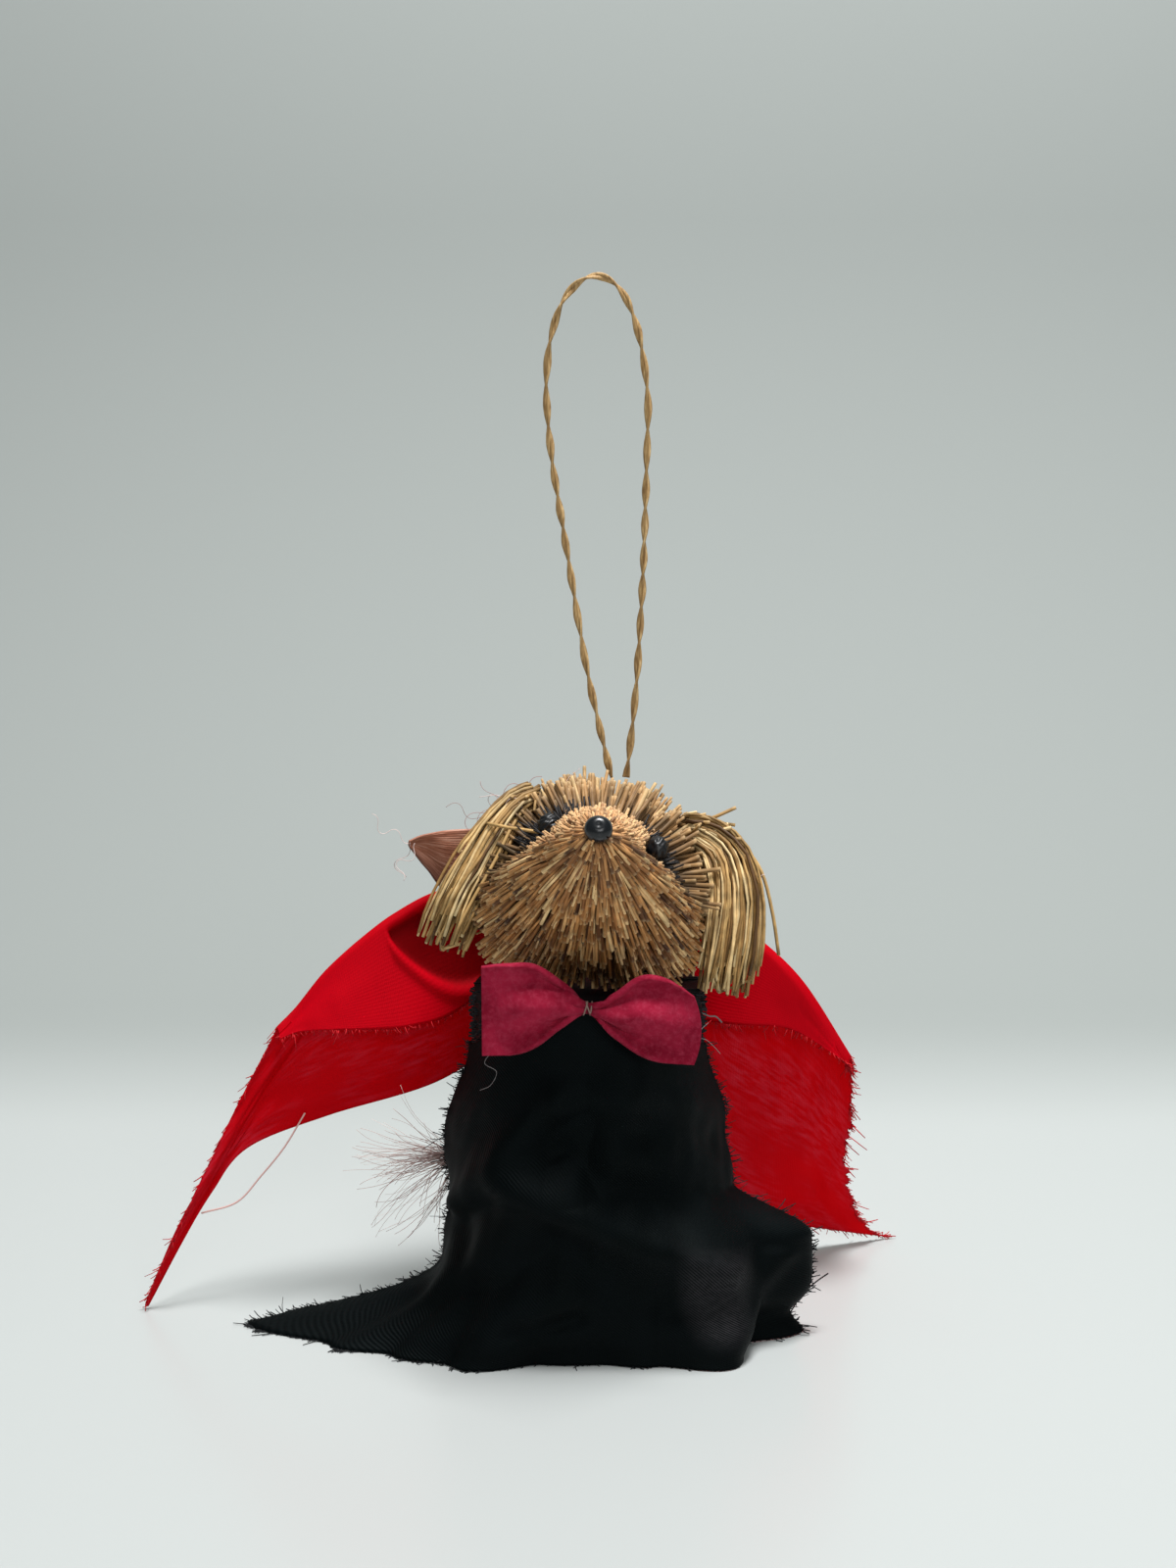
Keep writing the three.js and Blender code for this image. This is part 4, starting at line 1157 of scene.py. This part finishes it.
# Cape: three lines from its left edge round the back to its right edge, as in the frame: the
# angle round the body, the distance out as a share of the reach, and the height as a share
# of the cape's top
CAPE_SPACING = 1
CAPE_REACH = 68
CAPE_RISE = 16
CAPE_FOLD_GAP = 1.1
CAPE_LEFT_BOW = -4
CAPE_RIGHT_BOW = 7
CAPE_LOWER_EDGE = [
    [-90, 1, 0.007], [-91.3, 0.9, 0.15], [-92.9, 0.8, 0.28], [-94.8, 0.69, 0.385],
    [-99.3, 0.45, 0.455], [-115.9, 0.17, 0.51], [-146, 0.08, 0.59], [-180, 0.06, 0.66],
    [-212, 0.075, 0.65], [-236, 0.06, 0.62], [-237, 0.05, 0.42], [-234, 0.08, 0.24],
    [-235, 0.34, 0.11], [-238, 0.62, 0.04], [-240, 0.8, 0.007],
]
CAPE_FOLD_LINE = [
    [-95.3, 0.59, 0.69], [-97, 0.535, 0.735], [-99.3, 0.45, 0.82], [-102.3, 0.355, 0.89],
    [-108, 0.25, 0.955], [-121, 0.147, 1], [-146, 0.06, 1], [-180, 0.045, 1],
    [-209.7, 0.06, 0.98], [-225, 0.09, 0.955], [-234.2, 0.122, 0.93], [-241.3, 0.153, 0.91],
    [-249.3, 0.21, 0.875], [-254.2, 0.325, 0.775], [-254.4, 0.485, 0.58],
]
CAPE_FLAP_EDGE = [
    [-93.6, 0.58, 0.67], [-93.8, 0.515, 0.685], [-94.4, 0.4, 0.687], [-96.5, 0.285, 0.685],
    [-100.2, 0.17, 0.688], [-113.6, 0.075, 0.705], [-147, 0.026, 0.8], [-180, 0.022, 0.86],
    [-209.5, 0.026, 0.84], [-224.3, 0.032, 0.75], [-236, 0.04, 0.685], [-245.2, 0.07, 0.677],
    [-251.6, 0.145, 0.675], [-254.7, 0.29, 0.66], [-256, 0.475, 0.565],
]

# The hollow in the flap beside the neck, as shares of the cape's length, and its depth and rim
CUP_START = 0.265
CUP_LENGTH = 0.13
CUP_DEPTH = 1.6
CUP_RIM = 0.9

CAPE_TEAR = 1.0
CAPE_SOFT = 0.9
CAPE_FINE = 0.16
FLAP_SOFT = 0.35
CAPE_STEPS = 330
CAPE_PANEL_ROWS = 46
CAPE_FOLD_ROWS = 8
CAPE_FLAP_ROWS = 26


def cape_line(entries, shares):
    angle, out, height = np.array(entries, float).T
    radius = BODY_RADIUS + CLOTH_GAP + CAPE_SPACING / 2 + out * CAPE_REACH
    return on_curve(around_body(angle, radius, height * (BODY_HEIGHT + CAPE_RISE)), shares)


def cape_grid():
    share = np.linspace(0, 1, CAPE_STEPS + 1)
    low = cape_line(CAPE_LOWER_EDGE, share)
    top = cape_line(CAPE_FOLD_LINE, share)
    edge = cape_line(CAPE_FLAP_EDGE, share)
    run = unit(np.gradient(top, axis=0))
    top = top - WORLD_Z * (CAPE_FOLD_GAP + CAPE_SPACING / 2)
    to_viewer = unit(np.cross(run, top - low))
    behind = top - to_viewer * CAPE_FOLD_GAP
    before = top + to_viewer * CAPE_FOLD_GAP
    to_body = -unit(top * np.array([1, 1, 0]))
    inward = np.where(share[:, None] < 0.5, run, to_body)
    bow = CAPE_LEFT_BOW * (1 - smooth(share, 0, 0.2)) + CAPE_RIGHT_BOW * smooth(share, 0.8, 1)
    rows = []
    for row in range(CAPE_PANEL_ROWS + 1):
        rise = row / CAPE_PANEL_ROWS
        rows.append(mix(low, behind, rise) + inward * (bow * math.sin(math.pi * math.sqrt(rise)))[:, None])
    for row in range(1, CAPE_FOLD_ROWS):
        angle = math.pi * row / CAPE_FOLD_ROWS
        around = WORLD_Z * math.sin(angle) - to_viewer * math.cos(angle)
        rows.append(top + around * CAPE_FOLD_GAP)
    for row in range(CAPE_FLAP_ROWS + 1):
        fall = row / CAPE_FLAP_ROWS
        hollow, rim = cup_at(share, fall)
        offset = CUP_RIM * rim - CUP_DEPTH * hollow
        rows.append(mix(before, edge, fall) + to_viewer * offset[:, None])
    return np.array(rows)


def cup_at(share, fall):
    """How far a place on the flap is in the hollow beside the neck, and on the hollow's rim."""
    near = smooth(share, CUP_START - 0.005, CUP_START + 0.01) * (1 - smooth(share, 0.5, 0.56))
    rim_fall = 0.95 * np.clip((share - CUP_START) / CUP_LENGTH, 0, 1) ** 0.55
    hollow = near * (1 - smooth(fall, rim_fall - 0.05, rim_fall)) * smooth(fall, 0, 0.1)
    rim = near * bell(fall, rim_fall + 0.05, 0.06)
    return hollow, rim


def add_cape():
    grid = cape_grid()
    rows, columns = grid.shape[:2]
    cloth = cloth_places(grid)
    normal = grid_normals(grid)
    row = np.arange(rows)[:, None] * np.ones(columns)
    fold_start = CAPE_PANEL_ROWS
    flap_start = CAPE_PANEL_ROWS + CAPE_FOLD_ROWS
    panel = smooth(row, 0, 6) * (1 - smooth(row, fold_start - 14, fold_start - 2))
    loose_flap = smooth(row, flap_start + 2, flap_start + 14)
    out = smooth(np.linalg.norm(grid[..., :2], axis=2), 34, 48)
    soft = ripples(cloth[..., 0], cloth[..., 1], 41, 7, 16, 46) * CAPE_SOFT
    fine = ripples(cloth[..., 0], cloth[..., 1], 42, 8, 5, 12) * CAPE_FINE
    grid = grid + normal * ((soft + fine) * (panel * out + loose_flap * out * FLAP_SOFT))[..., None]
    flap = smooth(row, fold_start - 1, flap_start + 1)
    share = np.linspace(0, 1, columns) * np.ones((rows, 1))
    # Painted shade: how far each place on the flap lies in the hollow, which the cloth's colour darkens.
    deep = cup_at(share, np.clip((row - flap_start) / CAPE_FLAP_ROWS, 0, 1))[0] * (row > flap_start)
    torn = uneven_edge(rows, 43, CAPE_TEAR)[:, None] * smooth(share, 0.975, 1)
    grid = grid + unit(np.gradient(grid, axis=1)) * torn[..., None]
    grid[..., 2] = np.maximum(grid[..., 2], CAPE_THICKNESS / 2)
    shape = sheet(grid, CAPE_THICKNESS, cloth=cloth, flap=flap, deep=deep)
    cape = add_piece("cape_cloth", shape, red_cloth_finish(), "cape")
    panel_rows = slice(None, fold_start + 4)
    flap_rows = slice(flap_start, None)
    right_third = slice(-(columns // 3), None)
    left_out = grid[:, 0] - grid[:, 5]
    right_out = grid[:, -1] - grid[:, -6]
    edges = [
        fringe(grid[panel_rows, 0], left_out[panel_rows], 0.35, 1.1, 51),
        fringe(grid[flap_rows, 0], left_out[flap_rows], 0.4, 0.9, 52),
        fringe(grid[-1], grid[-1] - grid[-4], 0.3, 1.0, 53),
        fringe(grid[panel_rows, -1], right_out[panel_rows], 0.18, 1.25, 54),
        fringe(grid[flap_rows, -1], right_out[flap_rows], 0.22, 1.1, 55),
        fringe(grid[0, right_third], (grid[0] - grid[4])[right_third], 0.4, 1.0, 56),
    ]
    thread = plain_finish("red_thread", srgb(186, 12, 26), 0.8)
    fray = add_piece("cape_fray", joined(*edges), thread)


add_cape()

# Bow tie: heights of its upper and lower edge over the knot, as shares of its height, at even
# steps from the left end over the knot to the right end, as in the frame
BOW_LENGTH = 41.6
BOW_HEIGHT = 19
BOW_KNOT = 1.9
BOW_RISE = 2.6
BOW_BULGE = 1.6
BOW_END_CURVE = 1.4
BOW_STAND = 1.4
BOW_PLEAT = 0.55
BOW_SOFT = 0.22
BOW_COLUMNS = 190
BOW_ROWS = 64
BOW_OUTLINE = [
    [0.44, -0.5],
    [0.47, -0.49],
    [0.46, -0.38],
    [0.27, -0.17],
    [0.04, -0.04],
    [0.15, -0.27],
    [0.34, -0.47],
    [0.3, -0.58],
    [0.12, -0.6],
]


def bow_points(s, v):
    """s runs from -1 at the left end to 1 at the right, and v from -1 at the top to 1 below."""
    out = np.abs(s)
    edges = on_curve(np.array(BOW_OUTLINE) * BOW_HEIGHT, (s + 1) / 2)
    rise = mix(edges[..., 0], edges[..., 1], (v + 1) / 2)
    end_curve = BOW_END_CURVE * smooth(s, 0.5, 1) * (1 - v * v)
    crease = np.cos(v * math.pi * 1.5) * smooth(out, 0.05, 0.3) * (1 - smooth(out, 0.5, 1))
    bulge = BOW_BULGE * (np.sin(math.pi * np.minimum(1, out * 1.15)) + crease)
    front = BODY_RADIUS + CLOTH_GAP + GOWN_SPACING + CLOTH_GAP * 3 + BOW_STAND
    x = s * BOW_LENGTH / 2 + end_curve
    return np.stack([x, -front - bulge, BODY_HEIGHT + BOW_RISE + rise], axis=-1)


def add_bow():
    s, v = np.meshgrid(np.linspace(-1, 1, BOW_COLUMNS + 1), np.linspace(-1, 1, BOW_ROWS + 1))
    grid = bow_points(s, v)
    out = np.abs(s)
    pleats = np.sin(v * 7 + np.sign(s)) * bell(out, 0.14, 0.13) * BOW_PLEAT
    soft = ripples(grid[..., 0], grid[..., 2], 61, 6, 9, 22) * BOW_SOFT * smooth(out, 0.2, 0.6)
    grid[..., 1] -= pleats + soft
    nearest = BODY_RADIUS + CLOTH_GAP + GOWN_SPACING + CLOTH_GAP + BOW_THICKNESS / 2
    grid[..., 1] = np.minimum(grid[..., 1], -nearest)
    # Painted shade at the knot: the pinch mark darkens the felt there.
    shape = sheet(grid, BOW_THICKNESS, pinch=bell(out, 0, 0.07))
    bow = add_piece("bow_felt", shape, felt_finish(), "bow_tie")
    pale = plain_finish("pale_thread", srgb(128, 104, 96), 0.7)
    thread = add_piece("bow_thread", bow_thread(), pale)


def bow_thread():
    """A few turns of thread that pinch the knot."""
    turns = []
    for x, lean in ((-0.5, 0.4), (0.1, -0.5), (0.6, 0.2)):
        angle = np.linspace(0, 2 * np.pi, 25)
        height = BODY_HEIGHT + BOW_RISE + (BOW_KNOT / 2 + 0.35) * np.cos(angle)
        depth = bow_points(np.zeros(1), np.zeros(1))[0, 1] + 1.1 * np.sin(angle) - 0.1
        turns.append(np.stack([x + lean * np.cos(angle), depth, height], axis=-1))
    paths = np.array(turns)
    return tubes(paths, np.full(paths.shape[:2], THREAD_RADIUS * 1.3), 5, start_normal=WORLD_X)


add_bow()

# Ribbon: angle round the head's back, distance out as a share of the reach, height of its
# top edge over the head's middle as a share of the head's radius, and share of its full width
RIBBON_WIDTH = 15
RIBBON_REACH = 16
RIBBON_LINE = [
    [-104.8, 1, 0.32, 0.1], [-110, 0.85, 0.36, 0.5], [-120, 0.58, 0.37, 1],
    [-146, -0.02, 0.36, 1], [-180, -0.26, 0.3, 1], [-212, -0.02, 0.24, 1],
    [-236, 0.43, 0.16, 1], [-250, 0.78, 0.08, 1], [-257.5, 0.88, 0.03, 0.95],
]
RIBBON_WAVE = 0.3
RIBBON_SHADE = 0.7
RIBBON_STEPS = 200
RIBBON_ROWS = 26


def add_ribbon():
    angle, out, rise, width = np.array(RIBBON_LINE).T
    radius = HEAD_RADIUS + out * RIBBON_REACH
    top = HEAD_CENTRE[2] + rise * HEAD_RADIUS
    shares = np.linspace(0, 1, RIBBON_STEPS + 1)
    upper = on_curve(around_body(angle, radius, top), shares)
    lower = on_curve(around_body(angle, radius, top - width * RIBBON_WIDTH), shares)
    grid = np.array([mix(upper, lower, row / RIBBON_ROWS) for row in range(RIBBON_ROWS + 1)])
    cloth = cloth_places(grid)
    wave = ripples(cloth[..., 0], cloth[..., 1], 71, 5, 9, 24) * RIBBON_WAVE
    grid = grid + grid_normals(grid) * wave[..., None]
    row = np.arange(RIBBON_ROWS + 1)[:, None] * np.ones(RIBBON_STEPS + 1)
    low = RIBBON_SHADE * smooth(row, RIBBON_ROWS * 0.3, RIBBON_ROWS)
    shape = sheet(grid, RIBBON_THICKNESS, cloth=cloth, low=low)
    ribbon = add_piece("ribbon_band", shape, ribbon_finish(), "back_ribbon")


add_ribbon()

# Feather: fine barbs that spread from one root low on the left
FEATHER_HEIGHT = 33
FEATHER_TOP_DEG = 34
FEATHER_LOW_DEG = -86
FEATHER_CURL_DEG = 34
FEATHER_TUFT_LENGTH = 19
FEATHER_LOOSE_LENGTH = 21
BARB_RADIUS = 0.09
FEATHER_BARBS = 130
FEATHER_RINGS = 16


def add_feather():
    low, high = box_mm("tail_feather")
    root = np.array([high[0], mix(low[1], high[1], 0.15), FEATHER_HEIGHT])
    count = FEATHER_BARBS
    share = np.linspace(0, 1, FEATHER_RINGS)
    tuft = random.uniform(0, 1, count) < 0.45
    top_angle = random.uniform(-8, FEATHER_TOP_DEG, count)
    angle = np.where(tuft, top_angle, random.uniform(FEATHER_LOW_DEG, 4, count))
    length = np.where(tuft, FEATHER_TUFT_LENGTH, FEATHER_LOOSE_LENGTH) * random.uniform(0.3, 1.2, count)
    curl = random.normal(0, FEATHER_CURL_DEG, count)
    wave = random.uniform(4, 16, (count, 1)) * np.sin(share * 9 + random.uniform(0, 6, (count, 1)))
    way = np.radians(angle[:, None] + curl[:, None] * share + wave * share)
    step = length[:, None] / FEATHER_RINGS
    x = -np.cumsum(np.cos(way) * step, axis=1)
    z = np.cumsum(np.sin(way) * step, axis=1)
    y = -share * 3 + random.normal(0, 1.2, (count, 1)) * share
    start = np.stack([random.uniform(-1.5, 0, count), np.zeros(count), random.normal(0, 0.7, count)], -1)
    paths = root + start[:, None] + np.stack([x, y, z], axis=-1)
    radii = BARB_RADIUS * random.uniform(0.6, 1.2, (count, 1)) * np.linspace(1, 0.55, FEATHER_RINGS)
    barbs = tubes(paths, radii, 3, tint=random.uniform(0, 1, count))
    add_piece("feather_barbs", barbs, feather_finish(), "tail_feather")


add_feather()

# Loose ends that the photo shows: straws that stray from the ears, threads and curled fibres
STRAY_STRAWS = [
    [[22, 8, 103], [26.5, 7, 105], [31, 5, 101.5], [35.8, 2, 95.5], [38.2, 0, 87], [39.6, -1, 78]],
    [[20, 8, 102.5], [23, 7, 103.6], [25, 6, 104.4], [27, 5.5, 104.6], [29, 5, 104.5], [30.6, 5, 104.3]],
    [
        [-20.5, -4, 106.4], [-18, -6, 106.3], [-16, -7, 106.1], [-14, -8, 106],
        [-12, -9, 105.9], [-9.8, -10, 105.7],
    ],
]
STRAY_RADIUS = 0.38
STRAY_RINGS = 24

# A thread from the cape, one from the gown's hem, and pale strands with a radius each
RED_THREAD = [
    [-60.5, 7.2, 41.2], [-64.8, 5.4, 34.2], [-69.9, 4.4, 28], [-75, 3.4, 22.6], [-82.6, 3.2, 20.2],
]
RED_THREAD_RADIUS = 0.2
BLACK_THREAD = [
    [42.2, -11.5, 4], [44, -11.2, 7], [45.6, -11, 8.8], [47.8, -11, 10.8], [50, -11, 12.4],
]
BLACK_THREAD_RADIUS = 0.16
PALE_STRANDS = [
    [0.055, [
        [-18.4, -28.2, 66], [-20.4, -27.2, 62.8], [-18.1, -26.6, 60.8], [-19.3, -25.8, 57.8],
        [-21.5, -24.8, 56.4],
    ]],
    [0.07, [[21.5, -15.2, 64.3], [23.8, -13.6, 63.6], [25.6, -12.4, 61.8], [27, -12, 60.1]]],
    [0.07, [[21.6, -15.2, 64.3], [23, -14.4, 66], [24.4, -14, 67.2]]],
    [0.17, [[23.4, -7.4, 67.4], [25, -7.6, 66.8], [26.3, -7.2, 66.6], [27.6, -6.6, 65.2]]],
]

# Curled fibres: the box in which they start, their count, length and curl, and a seed
CURLS = [
    [[-24, 2, 101], [-10, 7, 106], 16, 19, 3.0, 81],
    [[31.6, -3, 89], [32.6, -1.8, 93], 4, 9, 4.0, 82],
    [[-38, 9.7, 99.4], [-36, 10.4, 100.2], 3, 16, 1.5, 83],
]
CURL_RINGS = 40
CURL_RADIUS = 0.07
STRAND_SIDES = 5


def strand(points, radius, rings=CURL_RINGS, **marks):
    path = on_curve(points, np.linspace(0, 1, rings))
    return tubes(path[None], np.full((1, rings), radius), STRAND_SIDES, **marks)


def curled_fibres(start_low, start_high, count, length, curl, seed):
    """Fine fibres that wander and curl from places in a box."""
    own = np.random.default_rng(seed)
    share = np.linspace(0, 1, CURL_RINGS)
    start = own.uniform(start_low, start_high, (count, 3))
    turn = own.uniform(0, 2 * math.pi, (count, 1)) + curl * own.normal(0, 1, (count, 1)) * share
    swing = own.uniform(0.5, 1.4, (count, 1))
    swing = swing * np.sin(own.uniform(5, 11, (count, 1)) * share + own.uniform(0, 6, (count, 1)))
    turn = turn + swing
    step = length * own.uniform(0.5, 1.2, (count, 1)) / CURL_RINGS
    x = np.cumsum(np.cos(turn) * step, axis=1)
    z = np.cumsum(np.sin(turn) * step, axis=1)
    y = np.cumsum(own.normal(0, 0.3, (count, 1)) * step * np.ones(CURL_RINGS), axis=1)
    paths = start[:, None] + np.stack([x, y, z], axis=-1)
    return tubes(paths, np.full((count, CURL_RINGS), CURL_RADIUS), 3, tint=own.uniform(0, 1, count))


def add_strays():
    marks = {"tint": np.full(1, 0.6), "along": np.full(1, 0.8)}
    straws = [strand(points, STRAY_RADIUS, STRAY_RINGS, **marks) for points in STRAY_STRAWS]
    add_piece("ear_strays", joined(*straws), EAR_FINISH)
    faded = plain_finish("faded_thread", srgb(206, 164, 158), 0.8)
    add_piece("cape_thread", strand(RED_THREAD, RED_THREAD_RADIUS), faded)
    dark = plain_finish("dark_thread", srgb(26, 24, 26), 0.8)
    add_piece("gown_thread", strand(BLACK_THREAD, BLACK_THREAD_RADIUS), dark)
    pale = [strand(points, radius) for radius, points in PALE_STRANDS]
    glue = plain_finish("glue_strand", srgb(120, 114, 114), 0.4, 0.4)
    add_piece("pale_strands", joined(*pale), glue)
    fibres = [curled_fibres(*curl) for curl in CURLS]
    add_piece("curled_fibres", joined(*fibres), feather_finish())


add_strays()

# Floor and light: a pale card that bends up to a wall, with painted shade that makes it greyer from where the
# wall starts
FLOOR_WIDTH = 4000
FLOOR_FRONT = -1500
FLOOR_BACK = 220
SWEEP_RADIUS = 260
SWEEP_HEIGHT = 2500
WALL_START = 70
WALL_END = 240
BEND_STEPS = 24
WALL_STEPS = 12


def add_floor():
    bend = np.linspace(0, math.pi / 2, BEND_STEPS)
    fade = np.linspace(WALL_START, FLOOR_BACK, WALL_STEPS, endpoint=False)
    flat = np.concatenate([[FLOOR_FRONT], fade])
    y = np.concatenate([flat, FLOOR_BACK + SWEEP_RADIUS * np.sin(bend), [FLOOR_BACK + SWEEP_RADIUS]])
    z = np.concatenate([np.zeros(len(flat)), SWEEP_RADIUS * (1 - np.cos(bend)), [SWEEP_HEIGHT]])
    left = np.stack([np.full_like(y, -FLOOR_WIDTH / 2), y, z], axis=-1)
    right = left * np.array([-1, 1, 1])
    count = len(y)
    i = np.arange(count - 1)
    faces = np.stack([i, i + count, i + count + 1, i + 1], axis=-1)
    shape = part(np.concatenate([left, right]), [faces])
    mesh = bpy.data.meshes.new("floor")
    mesh.from_pydata((shape["points"] * MM).tolist(), [], faces.tolist())
    mesh.polygons.foreach_set("use_smooth", np.ones(len(faces), bool))
    data = mesh.attributes.new("wall", "FLOAT", "POINT").data
    data.foreach_set("value", np.tile(smooth(y, WALL_START, WALL_END), 2).astype(np.float32))
    mesh.materials.append(card_finish())
    floor = bpy.data.objects.new("floor", mesh)
    bpy.context.scene.collection.objects.link(floor)


ROOM_LIGHT = 0.28


def add_light(name, place, target, size, power):
    data = bpy.data.lights.new(name, "AREA")
    data.shape = "RECTANGLE"
    data.size, data.size_y = (side * MM for side in size)
    data.energy = power
    light = bpy.data.objects.new(name, data)
    light.location = np.array(place) * MM
    aim = unit(np.array(target, float) - np.array(place, float))
    light.rotation_euler = Vector(aim).to_track_quat("-Z", "Y").to_euler()
    bpy.context.scene.collection.objects.link(light)


def add_world():
    world = bpy.data.worlds.new("room")
    world.use_nodes = True
    background = world.node_tree.nodes["Background"]
    background.inputs["Color"].default_value = srgb(226, 232, 228)
    background.inputs["Strength"].default_value = ROOM_LIGHT
    bpy.context.scene.world = world
    bpy.context.scene.view_settings.view_transform = "Standard"


add_floor()
add_light("overhead", place=(110, -60, 1000), target=(0, 20, 60), size=(320, 280), power=14.5)
add_light("front", place=(300, -1300, 700), target=(0, 0, 80), size=(700, 500), power=6)
add_world()
